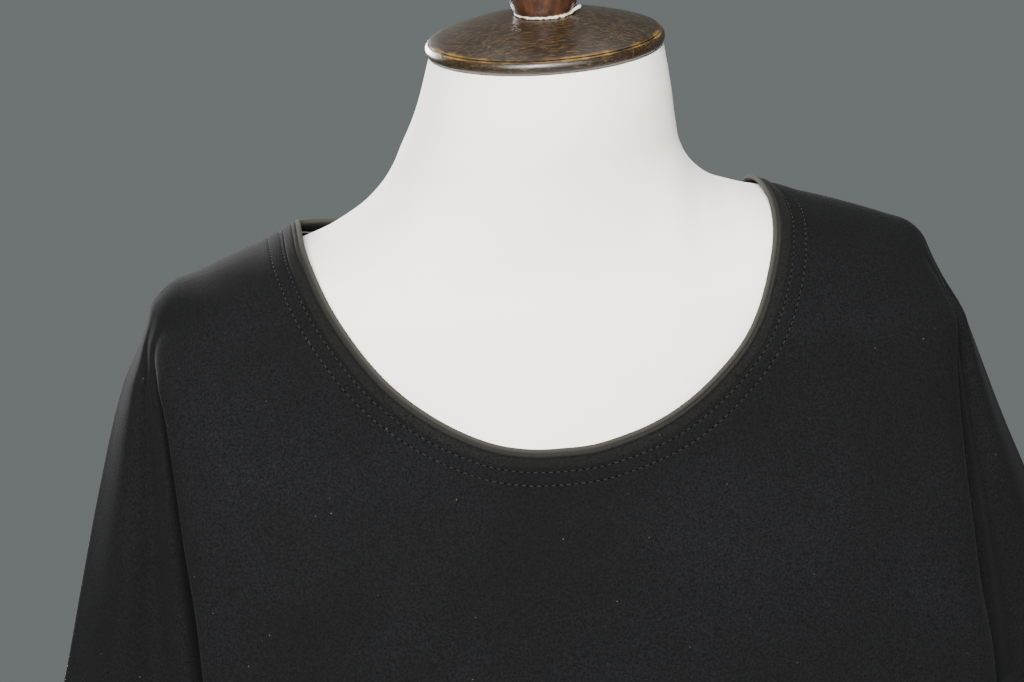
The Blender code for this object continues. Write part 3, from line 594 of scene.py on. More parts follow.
stitchRows = {"neck": (2.1, 8.7), "hem": (19.0, 24.0), "cuff": (14.0, 19.0)}  # mm from the seam or the edge

# soft creases: front or back, top x and z, foot x and z, half width and depth in mm; negative is a trough
creaseRows = (
    (True, -0.196, 1.385, -0.232, 1.150, 9.0, -1.6),
    (True, 0.202, 1.372, 0.2075, 1.170, 3.0, -1.3),
    (True, 0.2065, 1.365, 0.214, 1.200, 2.6, -1.0),
    (True, 0.212, 1.340, 0.222, 1.180, 8.0, 1.2),
    (True, 0.150, 1.330, 0.172, 1.080, 16.0, -1.0),
    (True, -0.150, 1.320, -0.168, 1.060, 18.0, -1.1),
    (True, -0.060, 1.240, -0.075, 0.900, 22.0, 1.4),
    (True, 0.070, 1.230, 0.082, 0.880, 24.0, 1.2),
    (True, 0.010, 1.190, 0.006, 0.700, 20.0, -1.2),
    (False, -0.120, 1.360, -0.140, 0.950, 20.0, -1.6),
    (False, 0.110, 1.350, 0.132, 0.920, 18.0, -1.5),
    (False, 0.020, 1.330, 0.012, 0.800, 22.0, 1.6),
    (False, -0.206, 1.370, -0.235, 1.150, 9.0, -1.6),
    (False, 0.205, 1.372, 0.232, 1.160, 9.0, -1.5),
)


def panelTurns():
    half = list(panelDetail["seamTurns"])
    for stop, gap in ((valley, panelDetail["sleeveStep"]), (fold, panelDetail["sideStep"]),
                      (middle, panelDetail["faceStep"])):
        count = max(1, round((stop - half[-1]) / gap))
        half += [float(t) for t in np.linspace(half[-1], stop, count + 1)[1:]]
    return half + [180 - t for t in half[-2::-1]]


def distanceToLoop(path, loop):  # distance of each point to a closed polyline
    start, end = loop, np.roll(loop, -1, axis=0)
    leg = end - start
    length = (leg ** 2).sum(1)
    rel = path[:, None] - start[None]
    t = np.clip((rel * leg[None]).sum(2) / length[None], 0, 1)
    return np.linalg.norm(rel - t[:, :, None] * leg[None], axis=2).min(1)


def yokeColumn(turn, loop):  # down one column: rows at set distances from the neck, then evenly
    top, end = neckHeight(turn), clothSizes["yokeEnd"]
    heights = top + (end - top) * np.linspace(0, 1, panelDetail["samples"]) ** 2
    path = np.array([clothPoint(turn, h) for h in heights])
    near = int(np.argmax(np.linalg.norm(path - path[0], axis=1) > panelDetail["nearNeck"])) or len(path)
    off = distanceToLoop(path[:near], loop)
    run = runAlong(path)
    wanted = neckSizes["panelStart"] + np.array(panelDetail["neckRows"]) / 1000
    starts = np.interp(wanted, np.maximum.accumulate(off), run[:near])
    legs = np.diff(path, axis=0)
    length = np.linalg.norm(legs, axis=1)
    bends = np.linalg.norm(np.diff(legs / np.maximum(length, 1e-9)[:, None], axis=0), axis=1)
    weight = length + panelDetail["bendWeight"] * (np.append(0, bends) + np.append(bends, 0)) / 2
    weighed = np.concatenate([[0], np.cumsum(weight)])
    first = np.interp(starts[-1], run, weighed)
    rest = np.interp(np.linspace(first, weighed[-1], panelDetail["yokeRows"] + 1)[1:], weighed, run)
    at = np.concatenate([starts, rest])
    return np.stack([np.interp(at, run, path[:, k]) for k in range(3)], axis=1)


def panelGrid(front):
    turns = panelTurns()
    side = 1 if front else -1
    turns = [side * t for t in turns]
    loop = neckLoop(panelDetail["loopPoints"])[0]
    last = len(turns) - 1
    valleyColumn = int(np.argmin(np.abs(np.array(turns[:len(turns) // 2]) * side - valley)))
    neckCount = len(panelDetail["neckRows"])
    split = neckCount + panelDetail["yokeRows"] - 1 + panelDetail["chestRows"]
    chest = np.linspace(clothSizes["yokeEnd"], clothSizes["underarm"], panelDetail["chestRows"] + 1)[1:]
    skirt = np.linspace(clothSizes["underarm"], clothSizes["hem"], panelDetail["skirtRows"] + 1)[1:]
    cuffs = np.linspace(clothSizes["underarm"], clothSizes["cuff"], panelDetail["cuffRows"] + 1)[1:]
    points, index = [], {}

    def add(key, where):
        index[key] = len(points)
        points.append(where)

    for i, turn in enumerate(turns):
        for j, where in enumerate(list(yokeColumn(turn, loop)) + [clothPoint(turn, h) for h in chest]):
            add(("body", j, i), where)
    for j, height in enumerate(skirt, split + 1):
        for i in range(valleyColumn, last - valleyColumn + 1):
            add(("body", j, i), hangPoint(turns[i], height))
    for j, height in enumerate(cuffs, split + 1):
        for i in list(range(valleyColumn + 1)) + list(range(last - valleyColumn, last + 1)):
            add(("sleeve", j, i), sleevePoint(turns[i], height))
    points = np.array(points)

    def at(block, j, i):
        return index[(block if j > split else "body", j, i)]

    faces = []
    areas = (("body", 0, split, 0, last),
             ("body", split, split + panelDetail["skirtRows"], valleyColumn, last - valleyColumn),
             ("sleeve", split, split + panelDetail["cuffRows"], 0, valleyColumn),
             ("sleeve", split, split + panelDetail["cuffRows"], last - valleyColumn, last))
    seamAway = np.full(len(points), 1.0)   # metres to the nearest sewn seam
    edgeAway = np.full(len(points), 1.0)   # metres to the hem or cuff
    neckAway = np.full(len(points), 1.0)   # metres to the neck band's seam
    isSleeve = np.zeros(len(points), bool)
    uv = np.zeros((len(points), 2))
    for block, top, bottom, start, end in areas:
        for j in range(top, bottom):
            for i in range(start, end):
                corners = [at(block, j, i), at(block, j + 1, i),
                           at(block, j + 1, i + 1), at(block, j, i + 1)]
                faces.append(corners[::-1] if front else corners)
        for j in range(top if top == 0 else top + 1, bottom + 1):
            row = np.array([at(block, j, i) for i in range(start, end + 1)])
            line = points[row]
            run = runAlong(line)
            seamAway[row] = np.minimum(seamAway[row], np.minimum(run, run[-1] - run))
            over = step(*clothRelief["uvHeights"], line[:, 2].mean())  # 1 where the cloth lies over the top
            flat = np.hypot(np.diff(line[:, 0]), np.diff(line[:, 1]) * (1 - over))
            wide = np.concatenate([[0], np.cumsum(flat)])
            zero = int(np.argmin(np.abs(line[:, 0])))
            uv[row, 0] = (wide - wide[zero]) * -side + line[zero, 0]
            uv[row, 1] = line[:, 2] - np.abs(line[:, 1]) * over
            if block == "sleeve":
                isSleeve[row] = True
        if top > 0:
            for i in range(start, end + 1):
                column = np.array([at(block, j, i) for j in range(top, bottom + 1)])
                run = runAlong(points[column])
                edgeAway[column] = np.minimum(edgeAway[column], run[-1] - run)
    for i in range(last + 1):
        for j in range(neckCount):
            neckAway[at("body", j, i)] = panelDetail["neckRows"][j] / 1000
    seamPoints = {at("body", j, i) for j in range(split + 1) for i in (0, last)}
    for j in range(split + 1, split + panelDetail["cuffRows"] + 1):
        seamPoints |= {at("sleeve", j, i) for i in (0, valleyColumn, last - valleyColumn, last)}
    for j in range(split, split + panelDetail["skirtRows"] + 1):
        seamPoints |= {at("body", j, i) for i in (valleyColumn, last - valleyColumn)}
    seamPoints = np.array(sorted(seamPoints))
    return {"points": points, "faces": np.array(faces), "seam": seamPoints, "seamAway": seamAway,
            "edgeAway": edgeAway, "neckAway": neckAway, "uv": uv, "isSleeve": isSleeve, "at": at, "last": last,
            "split": split, "valleyColumn": valleyColumn, "neckCount": neckCount, "side": side}


def vertexNormals(points, faces):
    corners = points[faces]
    turned = np.cross(corners[:, 2] - corners[:, 0], corners[:, 3] - corners[:, 1])
    normals = np.zeros_like(points)
    for k in range(4):
        np.add.at(normals, faces[:, k], turned)
    return normals


def creaseOffset(points, front):
    offset = np.zeros(len(points))
    for isFront, topX, topZ, footX, footZ, halfWidth, depth in creaseRows:
        if isFront != front:
            continue
        start, leg = np.array([topX, topZ]), np.array([footX - topX, footZ - topZ])
        rel = points[:, [0, 2]] - start
        t = np.clip((rel @ leg) / (leg @ leg), 0, 1)
        away = np.linalg.norm(rel - t[:, None] * leg, axis=1) * 1000
        taper = np.sin(np.pi * t) ** clothRelief["creaseTaper"]
        offset += depth / 1000 * taper * np.exp(-(away / halfWidth) ** 2)
    return offset


def onShoulders(points):  # 1 over the shoulders, fading to 0 below them
    return np.array([step(*shoulderSizes["heights"], z) for z in points[:, 2]])


def clothOffset(grid, front):  # how far the outer face stands off the inner one at each point
    points, seamAway, neckAway = grid["points"], grid["seamAway"], grid["neckAway"]
    shoulder, left = onShoulders(points), points[:, 0] < 0
    offset = clothSizes["wall"] + np.array([neckRelief(a * 1000) for a in neckAway]) / 1000
    seamLines = np.array([seamRelief(a * 1000) for a in seamAway]) / 1000
    offset += seamLines * (1 - shoulderSizes["flatSeam"] * shoulder)
    # over the shoulders the cloth lies closer to the form, but its stitched edge stands up
    ends = np.array([step(*shoulderSizes["leftEnd" if x < 0 else "rightEnd"], abs(x)) for x in points[:, 0]])
    lower = shoulderSizes["closer"] * (1 - shoulderSizes["endShare"] * ends)
    stitched = np.array([1 - step(*shoulderSizes["stitchedEnd"], a * 1000) for a in neckAway])
    offset += shoulder * (stitched * shoulderSizes["stitched"] - lower)
    # the sleeves' tops follow the photo: a little out on the left, a little in on the right
    arm = np.array([step(*shoulderSizes["armHeights"], z) for z in points[:, 2]])
    arm *= np.exp(-(seamAway / shoulderSizes["armWide"]) ** 2)
    arm *= np.array([step(*shoulderSizes["armAcross"], abs(x)) for x in points[:, 0]])
    offset += arm * np.where(left, shoulderSizes["leftArm"], shoulderSizes["rightArm"])
    loose = np.clip(neckAway * clothRelief["neckFade"], 0, 1)
    coarse, fine = clothRelief["scales"]
    soft = np.array([noise.noise(Vector(p) * coarse) + clothRelief["fineShare"] * noise.noise(Vector(p) * fine)
                     for p in points])
    free = np.array([step(*clothRelief["slackHeights"], z) for z in points[:, 2]])
    offset += clothRelief["uneven"] * soft * free * loose * np.clip(seamAway * clothRelief["unevenFade"], 0, 1)
    offset += creaseOffset(points, front) * np.clip(seamAway * clothRelief["creaseFade"], 0, 1)
    # the turned hems, and the dents along their two rows of stitches
    isSleeve, away = grid["isSleeve"], grid["edgeAway"]
    turnUp = np.where(isSleeve, panelDetail["cuffHemWidth"], panelDetail["hemWidth"])
    past = np.minimum((away - turnUp) / clothRelief["hemSoft"], 60.0)
    offset += clothRelief["hemStep"] / (1 + np.exp(past)) * (away < clothRelief["near"])
    for cuffRow, hemRow in zip(stitchRows["cuff"], stitchRows["hem"]):
        row = np.where(isSleeve, cuffRow, hemRow) / 1000
        offset -= clothRelief["rowDepth"] * np.exp(-((away - row) / clothRelief["rowWidth"]) ** 2)
    return offset


def makePanel(name, front):
    grid = panelGrid(front)
    points, faces = grid["points"], grid["faces"]
    normals = vertexNormals(points, faces)
    normals[grid["seam"], 1] = 0.0
    normals /= np.linalg.norm(normals, axis=1)[:, None]
    offset = clothOffset(grid, front)
    outer = points + normals * offset[:, None]
    lowest = -panelDetail["slack"] - shoulderSizes["sunk"] * onShoulders(points)
    inner = points + normals * np.maximum(offset - panelDetail["visibleWall"], lowest)[:, None]
    count = len(points)
    edges = {(a, b): None for face in faces.tolist() for a, b in zip(face, face[1:] + face[:1])}
    rims = [[b, a, a + count, b + count] for a, b in edges if (b, a) not in edges]
    allFaces = faces[:, ::-1].tolist() + (faces + count).tolist() + rims
    panel = meshObject(name, np.vstack([inner, outer]), allFaces, jersey)
    layFlat(panel.data, np.vstack([grid["uv"], grid["uv"]]))
    grid["outer"] = outer
    corners = outer[faces]
    diagonals = corners[:, 2] - corners[:, 0], corners[:, 3] - corners[:, 1]
    area = np.linalg.norm(np.cross(*diagonals), axis=1).sum() / 2
    print(name, "made:", len(allFaces), "faces, cloth area", round(float(area), 3), "m2")
    return panel, grid, float(area)


frontPanel, frontGrid, frontArea = makePanel("frontPanelCloth", True)
backPanel, backGrid, backArea = makePanel("backPanelCloth", False)
place(frontPanel, "jersey", "front_panel")
place(backPanel, "jersey", "back_panel")


# neck band

bandDetail = {"steps": 420, "unevenness": 0.00012, "unevenScale": 60.0, "crown": 2.10, "crownRise": 0.5,
              "flatGrooves": 0.55, "flatWide": 0.06, "footPoints": (8, 23)}
# section of the folded band: share of its width from the opening, and height in mm over its foot
bandSection = (
    (0.00, 1.30), (0.015, 0.60), (0.06, 0.15), (0.16, 0.0), (0.60, 0.0), (0.97, 0.1), (1.00, 0.6),
    (1.00, 1.15), (0.990, 1.60), (0.965, 1.90), (0.91, 2.06), (0.80, 2.10), (0.68, 2.08), (0.58, 1.98),
    (0.53, 1.70), (0.505, 1.20), (0.48, 1.72), (0.44, 2.20), (0.39, 2.38), (0.34, 2.30), (0.305, 1.90),
    (0.275, 1.00), (0.250, 1.90), (0.21, 2.45), (0.13, 2.70), (0.06, 2.50), (0.015, 1.95))


def makeBand():
    sheet, normals = neckLoop(bandDetail["steps"])
    along = np.roll(sheet, -1, axis=0) - np.roll(sheet, 1, axis=0)
    outwards = np.cross(normals, along)
    outwards /= np.linalg.norm(outwards, axis=1)[:, None]
    lengths = runAlong(sheet)
    width, count = neckSizes["bandWidth"], len(bandSection)
    firstTop, lastTop = bandDetail["footPoints"]
    points, uvs = [], []
    for j, (where, out, normal) in enumerate(zip(sheet, outwards, normals)):
        foot = where + normal * (neckSizes["bandGap"] - clothSizes["gap"])
        uneven = bandDetail["unevenness"] * noise.noise(Vector(where) * bandDetail["unevenScale"])
        beside = min(1.0, abs(where[0] - neckSizes["shift"]) / bandDetail["flatWide"])  # 0 at the middle
        grooves = bandDetail["flatGrooves"] + (1 - bandDetail["flatGrooves"]) * beside
        for k, (share, high) in enumerate(bandSection):
            crown = bandDetail["crown"] + bandDetail["crownRise"] * (1 - share)
            level = high if k < firstTop or k > lastTop else crown + (high - crown) * grooves
            rise = level / 1000 - neckSizes["bendDrop"] * (share * width) ** 2 + (uneven if level > 1 else 0)
            points.append(foot + out * share * width + normal * rise)
            uvs.append((lengths[j], share * width))
    band = meshObject("neckBandCloth", points, ringFaces(bandDetail["steps"], count, True), bandJersey)
    turnOutward(band.data)
    layFlat(band.data, np.array(uvs))
    return band


neckBand = place(makeBand(), "band", "neck_band")
print("neck band made")


# stitches

stitchDetail = {"pitch": 0.0037, "length": 0.0022, "thick": 0.00066, "holeLength": 0.0011,
                "holeThick": 0.00070, "seed": 4}


def stitchTree():  # stitches at an even pitch along each line, as one mesh
    tree = bpy.data.node_groups.new("stitchesAlongLines", "GeometryNodeTree")
    for name, kind in (("Geometry", "Geometry"), ("Pitch", "Float"), ("Length", "Float"),
                       ("Thickness", "Float"), ("Seed", "Int"), ("Material", "Material")):
        tree.interface.new_socket(name=name, in_out="INPUT", socket_type="NodeSocket" + kind)
    tree.interface.new_socket(name="Geometry", in_out="OUTPUT", socket_type="NodeSocketGeometry")
    given = addNode(tree, "NodeGroupInput")
    line = addNode(tree, "GeometryNodeMeshToCurve", None, {"Mesh": given.outputs["Geometry"]})
    spaced = addNode(tree, "GeometryNodeResampleCurve", {"mode": "LENGTH"},
                     {"Curve": line.outputs["Curve"], "Length": given.outputs["Pitch"]})
    tangent = addNode(tree, "GeometryNodeInputTangent")
    turn = addNode(tree, "FunctionNodeAlignEulerToVector", {"axis": "Z"},
                   {"Vector": tangent.outputs["Tangent"]})
    oneStitch = addNode(tree, "GeometryNodeMeshUVSphere", {"Segments": 6, "Rings": 5, "Radius": 0.5})
    size = addNode(tree, "ShaderNodeCombineXYZ", None, {
        "X": given.outputs["Thickness"], "Y": given.outputs["Thickness"], "Z": given.outputs["Length"]})
    shaped = addNode(tree, "GeometryNodeTransform", None,
                     {"Geometry": oneStitch.outputs["Mesh"], "Scale": size.outputs["Vector"]})
    spread = addNode(tree, "FunctionNodeRandomValue", {"data_type": "FLOAT", 2: 0.85, 3: 1.12},
                     {"Seed": given.outputs["Seed"]})
    copies = addNode(tree, "GeometryNodeInstanceOnPoints", None, {
        "Points": spaced.outputs["Curve"], "Instance": shaped.outputs["Geometry"],
        "Rotation": turn.outputs["Rotation"], "Scale": spread.outputs[1]})
    real = addNode(tree, "GeometryNodeRealizeInstances", None, {"Geometry": copies.outputs["Instances"]})
    smooth = addNode(tree, "GeometryNodeSetShadeSmooth", None, {"Geometry": real.outputs["Geometry"]})
    coloured = addNode(tree, "GeometryNodeSetMaterial", None, {
        "Geometry": smooth.outputs["Geometry"], "Material": given.outputs["Material"]})
    addNode(tree, "NodeGroupOutput", None, {"Geometry": coloured.outputs["Geometry"]})
    return tree


def linesObject(name, lines):  # each line is (points, closed)
    points, edges = [], []
    for line, closed in lines:
        first = len(points)
        points += [tuple(map(float, p)) for p in line]
        edges += [(first + k, first + k + 1) for k in range(len(line) - 1)]
        if closed:
            edges.append((len(points) - 1, first))
    mesh = bpy.data.meshes.new(name)
    mesh.from_pydata(points, edges, [])
    made = bpy.data.objects.new(name, mesh)
    bpy.context.scene.collection.objects.link(made)
    return made


def applyTree(target, tree, values):  # runs the tree on an object and keeps the result as a plain mesh
    modifier = target.modifiers.new(tree.name, "NODES")
    modifier.node_group = tree
    sockets = {item.name: item.identifier for item in tree.interface.items_tree if item.in_out == "INPUT"}
    for name, value in values.items():
        modifier[sockets[name]] = value
    bpy.context.view_layer.update()
    result = bpy.data.meshes.new_from_object(target.evaluated_get(bpy.context.evaluated_depsgraph_get()))
    target.modifiers.remove(modifier)
    target.data = result
    return target


def rowLine(grid, block, columns, wanted, key):  # points of the outer face at a distance from an edge
    line = []
    for i in columns:
        if key == "neck":
            ids = [grid["at"]("body", j, i) for j in range(grid["neckCount"])]
            away = grid["neckAway"][ids]
        else:
            rows = panelDetail["cuffRows" if block == "sleeve" else "skirtRows"]
            ids = [grid["at"](block, grid["split"] + j, i) for j in range(rows, -1, -1)]
            away = grid["edgeAway"][ids]
        places = grid["outer"][ids]
        line.append([np.interp(wanted, away, places[:, k]) for k in range(3)])
    return np.array(line)


def loopLine(block, columnsOf, wanted, key):  # across the front, then back across the back
    front = rowLine(frontGrid, block, columnsOf(frontGrid), wanted, key)
    back = rowLine(backGrid, block, columnsOf(backGrid), wanted, key)
    return np.vstack([front[1:-1], back[::-1][1:-1]])


stitchLines = []
for mm in stitchRows["neck"]:
    stitchLines.append((loopLine("body", lambda g: range(g["last"] + 1), mm / 1000, "neck"), True))
for mm in stitchRows["hem"]:
    stitchLines.append((loopLine("body", lambda g: range(g["valleyColumn"], g["last"] - g["valleyColumn"] + 1),
                                 mm / 1000, "hem"), True))
for mm in stitchRows["cuff"]:
    stitchLines.append((loopLine("sleeve", lambda g: range(g["valleyColumn"] + 1), mm / 1000, "cuff"), True))
    stitchLines.append((loopLine("sleeve", lambda g: range(g["last"] - g["valleyColumn"], g["last"] + 1),
                                 mm / 1000, "cuff"), True))


def shiftedLine(line, closed, by):  # the same line, begun a little further along
    whole = np.vstack([line, line[:1]]) if closed else np.asarray(line)
    run = runAlong(whole)
    first = np.array([np.interp(by, run, whole[:, k]) for k in range(3)])
    return np.vstack([first, whole[:len(line)][run[:len(line)] > by]]), closed


def madeFromLines(name, lines, length, thickness, material):
    made = applyTree(linesObject(name, lines), stitchTree(), {
        "Pitch": stitchDetail["pitch"], "Length": length, "Thickness": thickness,
        "Seed": stitchDetail["seed"], "Material": material})
    made.data.materials.clear()
    made.data.materials.append(material)
    made.data.polygons.foreach_set("material_index", [0] * len(made.data.polygons))
    return place(made, "jersey")


halfPitch = stitchDetail["pitch"] / 2
stitches = madeFromLines("twinNeedleStitches", stitchLines, stitchDetail["length"],
                         stitchDetail["thick"], thread)
# painted shade: dark blobs half a pitch past each stitch stand for the shaded needle holes
holeShades = madeFromLines("needleHoleShadeDots", [shiftedLine(*line, halfPitch) for line in stitchLines],
                      stitchDetail["holeLength"], stitchDetail["holeThick"], darkHoleShade)
print("stitches made:", len(stitches.data.polygons), "faces")


# dress form

formDetail = {"sides": 144, "chest": 1.36, "seat": 0.79, "neckRings": 90, "bodyRings": 60, "footRings": 8,
              "unevenness": 0.00035, "scales": (22.0, 55.0), "fineShare": 0.5, "sharp": math.radians(50)}


def ringsObject(name, rings, material, wear=None):  # closed through rings of equal count, a fan at each end
    count = len(rings[0])
    points = [p for ring in rings for p in ring]
    faces = ringFaces(len(rings), count, False)
    for j in (0, len(rings) - 1):
        points.append(np.mean(rings[j], axis=0))
        for i in range(count):
            faces.append([j * count + i, j * count + (i + 1) % count, len(points) - 1])
    made = meshObject(name, points, faces, material)
    turnOutward(made.data)
    made.data.set_sharp_from_angle(angle=formDetail["sharp"])
    if wear is not None:
        values = [w for w in wear for _ in range(count)] + [wear[0], wear[-1]]
        made.data.attributes.new("wear", "FLOAT", "POINT").data.foreach_set("value", values)
    return made


def makeForm():
    tops = [row[0] for row in formRows]
    chest, seat = formDetail["chest"], formDetail["seat"]
    heights = np.concatenate([np.linspace(tops[0], chest, formDetail["neckRings"]),
                              np.linspace(chest, seat, formDetail["bodyRings"])[1:],
                              np.linspace(seat, tops[-1], formDetail["footRings"])[1:]])
    coarse, fine = formDetail["scales"]
    rings = []
    for height in heights:
        ring = []
        for k in range(formDetail["sides"]):
            turn = signed(360 * k / formDetail["sides"])
            p = skinPoint(turn, height)
            out = outward(skinPoint, turn, height) if height < tops[0] - 0.001 else np.zeros(3)
            # the padding gives a little under the cloth on the shoulders
            sunk = step(*shoulderSizes["sunkAcross"], abs(p[0])) * step(*shoulderSizes["sunkHeights"], p[2])
            p = p - out * shoulderSizes["sunk"] * sunk
            uneven = noise.noise(Vector(p) * coarse) + formDetail["fineShare"] * noise.noise(Vector(p) * fine)
            ring.append(p + out * formDetail["unevenness"] * uneven)
        rings.append(ring)
    return ringsObject("formCover", rings, cover)


place(makeForm(), "cover", "form_body")
print("dress form made")


# neck cap, finial, pole and base

capDetail = {"halfWidth": 0.0610, "halfDepth": 0.0560, "thick": 0.0070, "tilt": math.radians(10.5),
             "middle": (0.0045, -0.0238, 1.5133), "sides": 144, "rounding": 0.055, "rimTurn": 1.35,
             "underside": (0.02, 0.45, 0.90), "foot": 4.10, "rimSteps": 21, "top": (0.02, 4.15),
             "crown": (  # share of the half width, and height in half thicknesses
                 (0.965, 1.10), (0.93, 1.40), (0.87, 1.80), (0.80, 2.15), (0.70, 2.70), (0.60, 3.15),
                 (0.50, 3.52), (0.42, 3.80), (0.34, 4.00), (0.28, 4.10), (0.15, 4.14)),
             "wear": {"under": (0.0, 0.0, 0.1), "rim": 0.16, "edge": 0.42, "edgeAt": 1.05, "edgeWide": 0.28,
                      "crown": (0.56, 0.34), "top": 0.12}}
finialDetail = {"sides": 72, "rings": 90, "tip": (0.001, 0.0004), "wear": 0.1, "profile": (
    (0.0138, 0.0), (0.0156, 0.0022), (0.0170, 0.0060), (0.0177, 0.0110), (0.0172, 0.0160), (0.0158, 0.0205),
    (0.0125, 0.0250), (0.0110, 0.0310), (0.0150, 0.0370), (0.0215, 0.0450), (0.0250, 0.0550),
    (0.0240, 0.0650), (0.0180, 0.0740), (0.0090, 0.0790))}
baseDetail = {"radius": 0.170, "thick": 0.018, "soft": 0.006, "collarRadius": 0.032, "collarHeight": 0.022,
              "sides": 144, "flareOut": 0.004, "flareUp": 0.0055, "lip": 0.003, "centre": 0.002, "foot": 0.001}
poleDetail = {"radius": 0.015, "sides": 64, "rings": 12}


def turnedPoint(radius, height, turn, middleAt, wide=1.0, deep=1.0, tilt=0.0, lean=0.0):
    x, y = radius * wide * math.cos(turn), radius * deep * math.sin(turn)
    return np.array([middleAt[0] + x, middleAt[1] + y * math.cos(tilt) - height * math.sin(tilt),
                     middleAt[2] + y * math.sin(tilt) + height * math.cos(tilt) + lean * x])


def turnedRings(profile, middleAt, sides, **form):
    turns = [2 * math.pi * k / sides for k in range(sides)]
    return [[turnedPoint(radius, height, turn, middleAt, **form) for turn in turns]
            for radius, height in profile]


def makeCap():
    half = capDetail["thick"] / 2
    turns = np.linspace(-capDetail["rimTurn"], capDetail["rimTurn"], capDetail["rimSteps"])
    profile = [(share, -half) for share in capDetail["underside"]]
    profile += [(1 - capDetail["rounding"] * (1 - math.cos(a)), half * math.sin(a)) for a in turns]
    profile += [(share, half * rise) for share, rise in capDetail["crown"] + (capDetail["top"],)]
    rubbed = capDetail["wear"]
    wear = list(rubbed["under"])
    wear += [rubbed["rim"] + rubbed["edge"] * math.exp(-((a - rubbed["edgeAt"]) / rubbed["edgeWide"]) ** 2)
             for a in turns]
    wear += list(rubbed["crown"]) + [rubbed["top"]] * (len(capDetail["crown"]) - 1)
    rings = turnedRings(profile, capDetail["middle"], capDetail["sides"], wide=capDetail["halfWidth"],
                        deep=capDetail["halfDepth"], tilt=capDetail["tilt"], lean=leanSizes["cap"])
    return ringsObject("neckCapWood", rings, capWood, wear)


def makeFinial():
    order = range(len(finialDetail["profile"]))
    radiusAt, heightAt = (smoothCurve(order, values) for values in zip(*finialDetail["profile"]))
    foot = capDetail["thick"] / 2 * capDetail["foot"] + clothSizes["seamGap"]
    profile = [(radiusAt(t), foot + heightAt(t)) for t in np.linspace(0, order[-1], finialDetail["rings"])]
    tipRadius, tipRise = finialDetail["tip"]
    profile.append((tipRadius, profile[-1][1] + tipRise))
    rings = turnedRings(profile, capDetail["middle"], finialDetail["sides"], tilt=capDetail["tilt"],
                        lean=leanSizes["cap"])
    return ringsObject("finialWood", rings, finialWood, [finialDetail["wear"]] * len(rings))


# the bead round the finial's foot: thin on the left, thick on the right, with a loose end there
beadDetail = {"steps": 240, "sides": 10, "thin": 0.00035, "thick": 0.00095, "radius": 0.0146, "foot": 0.0008,
              "thickAt": math.radians(-50), "lumps": 0.55, "wander": 0.0006, "waver": 0.0004, "flat": 0.8,
              "looseAt": -22, "looseWide": 8, "looseOut": 0.0040, "looseUp": 0.0030}


def makeGlueBead():
    foot = capDetail["thick"] / 2 * capDetail["foot"] + beadDetail["foot"]
    points, steps, sides = [], beadDetail["steps"], beadDetail["sides"]
    for j in range(steps):
        turn = 2 * math.pi * j / steps
        ring = Vector((math.cos(turn), math.sin(turn), 0.0))
        lump = noise.noise(ring * 5.0) + 0.7 * noise.noise(ring * 16.0 + Vector((3, 1, 2)))
        share = 0.5 + 0.5 * math.cos(turn - beadDetail["thickAt"])  # thickest at the front right
        thick = beadDetail["thin"] + (beadDetail["thick"] - beadDetail["thin"]) * share
        thick *= 1 + beadDetail["lumps"] * lump
        beside = (signed(math.degrees(turn)) - beadDetail["looseAt"]) / beadDetail["looseWide"]
        loose = math.exp(-beside ** 2)
        radius = beadDetail["radius"] + beadDetail["looseOut"] * loose
        radius += beadDetail["wander"] * noise.noise(ring * 3.0)
        rise = foot + beadDetail["looseUp"] * loose + beadDetail["waver"] * noise.noise(ring * 9.0)
        for k in range(sides):
            a = 2 * math.pi * k / sides
            high = rise + beadDetail["flat"] * thick * math.sin(a)
            points.append(turnedPoint(radius + thick * math.cos(a), high, turn, capDetail["middle"],
                                      tilt=capDetail["tilt"], lean=leanSizes["cap"]))
    return meshObject("glueBead", points, ringFaces(steps, sides, True), glue)


def makePole():
    top = formRows[-1][0] - clothSizes["seamGap"]
    foot = baseDetail["thick"] + baseDetail["collarHeight"] + clothSizes["seamGap"]
    profile = [(poleDetail["radius"], h) for h in np.linspace(foot, top, poleDetail["rings"])]
    return ringsObject("standPole", turnedRings(profile, (0, 0, 0), poleDetail["sides"]), steel)


def quarterRound(startX, startZ, acrossBy, upBy, count):  # a quarter turn of a rounded edge, (radius, height)
    turns = np.linspace(0, math.pi / 2, count)
    return [(startX + acrossBy * (1 - math.cos(a)), startZ + upBy * (1 - math.sin(a))) for a in turns]


def makeBase():
    soft, radius, thick = baseDetail["soft"], baseDetail["radius"], baseDetail["thick"]
    collar, top, lip = baseDetail["collarRadius"], thick + baseDetail["collarHeight"], baseDetail["lip"]
    middle, foot, quarter = baseDetail["centre"], baseDetail["foot"], math.pi / 2
    profile = [(middle, 0.0), (radius - foot, 0.0), (radius, foot)]
    profile += quarterRound(radius, thick, -soft, -soft, 10)
    profile += [(collar + baseDetail["flareOut"] * (1 - math.sin(a)),
                 thick + baseDetail["flareUp"] * (1 - math.cos(a))) for a in np.linspace(0, quarter, 8)]
    profile += quarterRound(collar, top, -lip, -lip, 6) + [(middle, top)]
    return ringsObject("standBase", turnedRings(profile, (0, 0, 0), baseDetail["sides"]), steel)


place(makeCap(), "dark_wood", "neck_cap")
place(makeFinial(), "finial_wood", "finial")
place(makeGlueBead(), "dark_wood")
place(makePole(), "painted_steel", "pole")
place(makeBase(), "painted_steel", "base")
print("cap, finial and stand made")


# floor, light and camera

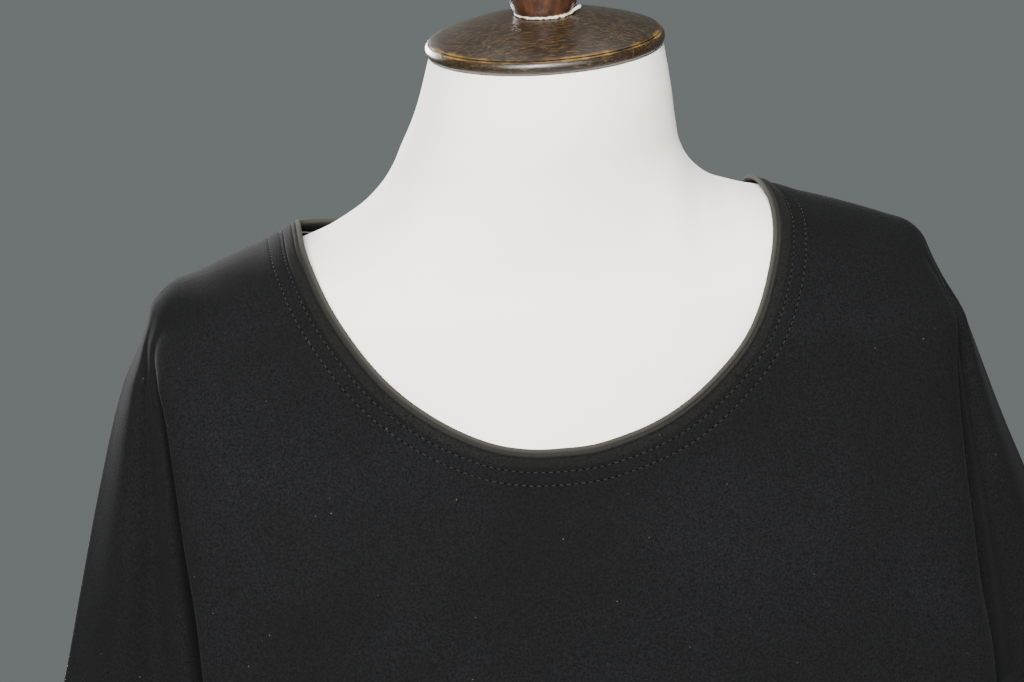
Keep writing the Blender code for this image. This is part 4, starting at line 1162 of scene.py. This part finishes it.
cameraView = {"eye": (-0.13995, -1.17597, 1.57978), "yaw": 5.85, "pitch": 10.72, "roll": 3.63,
              "lens": 80.0, "sensor": 36.0}
studio = {
    "background": "#6e7473", "ambient": 1.0, "floorRadius": 2.2, "floorSides": 96, "floorDrop": 0.0005,
    "lamps": (  # name, place, aim, size, power and colour
        ("keySoftbox", (-0.55, -2.3, 2.6), (0, 0, 1.35), 1.0, 255.0, (1.0, 1.0, 0.99)),
        ("fillSoftbox", (0.9, -2.6, 1.9), (0, 0, 1.3), 1.2, 20.0, (1.0, 0.99, 0.97)),
        ("topSoftbox", (0.1, 0.2, 3.1), (0, 0, 1.3), 1.6, 9.0, (1.0, 1.0, 1.0)),
        ("backSoftbox", (-1.2, 2.4, 2.1), (0, 0, 1.0), 1.0, 170.0, (1.0, 1.0, 1.0))),
}


def makeFloor():
    # Matt studio floor, pale grey paint.
    material, tree, shader = newMaterial("paleFloorPaint", {
        "Base Color": linear("#c9c9c6"), "Roughness": 0.8})
    coords = addNode(tree, "ShaderNodeTexCoord").outputs["Object"]
    dust = addNode(tree, "ShaderNodeTexNoise", {"Scale": 40.0, "Detail": 3.0}, {"Vector": coords})
    bump = addNode(tree, "ShaderNodeBump", {"Strength": 0.05, "Distance": 0.001},
                   {"Height": dust.outputs["Fac"]})
    tree.links.new(bump.outputs["Normal"], shader.inputs["Normal"])
    turns = [2 * math.pi * k / studio["floorSides"] for k in range(studio["floorSides"])]
    ring = [(studio["floorRadius"] * math.cos(a), studio["floorRadius"] * math.sin(a), -studio["floorDrop"])
            for a in turns]
    meshObject("studioFloor", ring, [list(range(len(ring)))], material, smooth=False)


def areaLight(name, where, towards, size, power, colour):
    data = bpy.data.lights.new(name, "AREA")
    data.shape, data.size, data.energy, data.color = "DISK", size, power, colour
    lamp = bpy.data.objects.new(name, data)
    lamp.location = where
    lamp.rotation_euler = (Vector(towards) - Vector(where)).to_track_quat("-Z", "Y").to_euler()
    bpy.context.scene.collection.objects.link(lamp)


def makeCamera():
    yaw, pitch, roll = (math.radians(cameraView[k]) for k in ("yaw", "pitch", "roll"))
    back = Vector((-math.sin(yaw) * math.cos(pitch), -math.cos(yaw) * math.cos(pitch), math.sin(pitch)))
    ahead = -back
    right = ahead.cross(Vector((0, 0, 1))).normalized()
    up = right.cross(ahead)
    right, up = (right * math.cos(roll) - up * math.sin(roll), up * math.cos(roll) + right * math.sin(roll))
    data = bpy.data.cameras.new("photoCamera")
    data.lens, data.sensor_width, data.sensor_fit = cameraView["lens"], cameraView["sensor"], "HORIZONTAL"
    camera = bpy.data.objects.new("photoCamera", data)
    turn = Matrix((right, up, back)).transposed().to_4x4()
    camera.matrix_world = Matrix.Translation(cameraView["eye"]) @ turn
    bpy.context.scene.collection.objects.link(camera)
    bpy.context.scene.camera = camera


def makeWorld():
    world = bpy.data.worlds.new("softStudio")
    world.use_nodes = True
    background = world.node_tree.nodes["Background"]
    background.inputs["Color"].default_value = linear(studio["background"])
    background.inputs["Strength"].default_value = studio["ambient"]
    bpy.context.scene.world = world


makeFloor()
for lamp in studio["lamps"]:
    areaLight(*lamp)
makeWorld()
makeCamera()

print("scene ready")
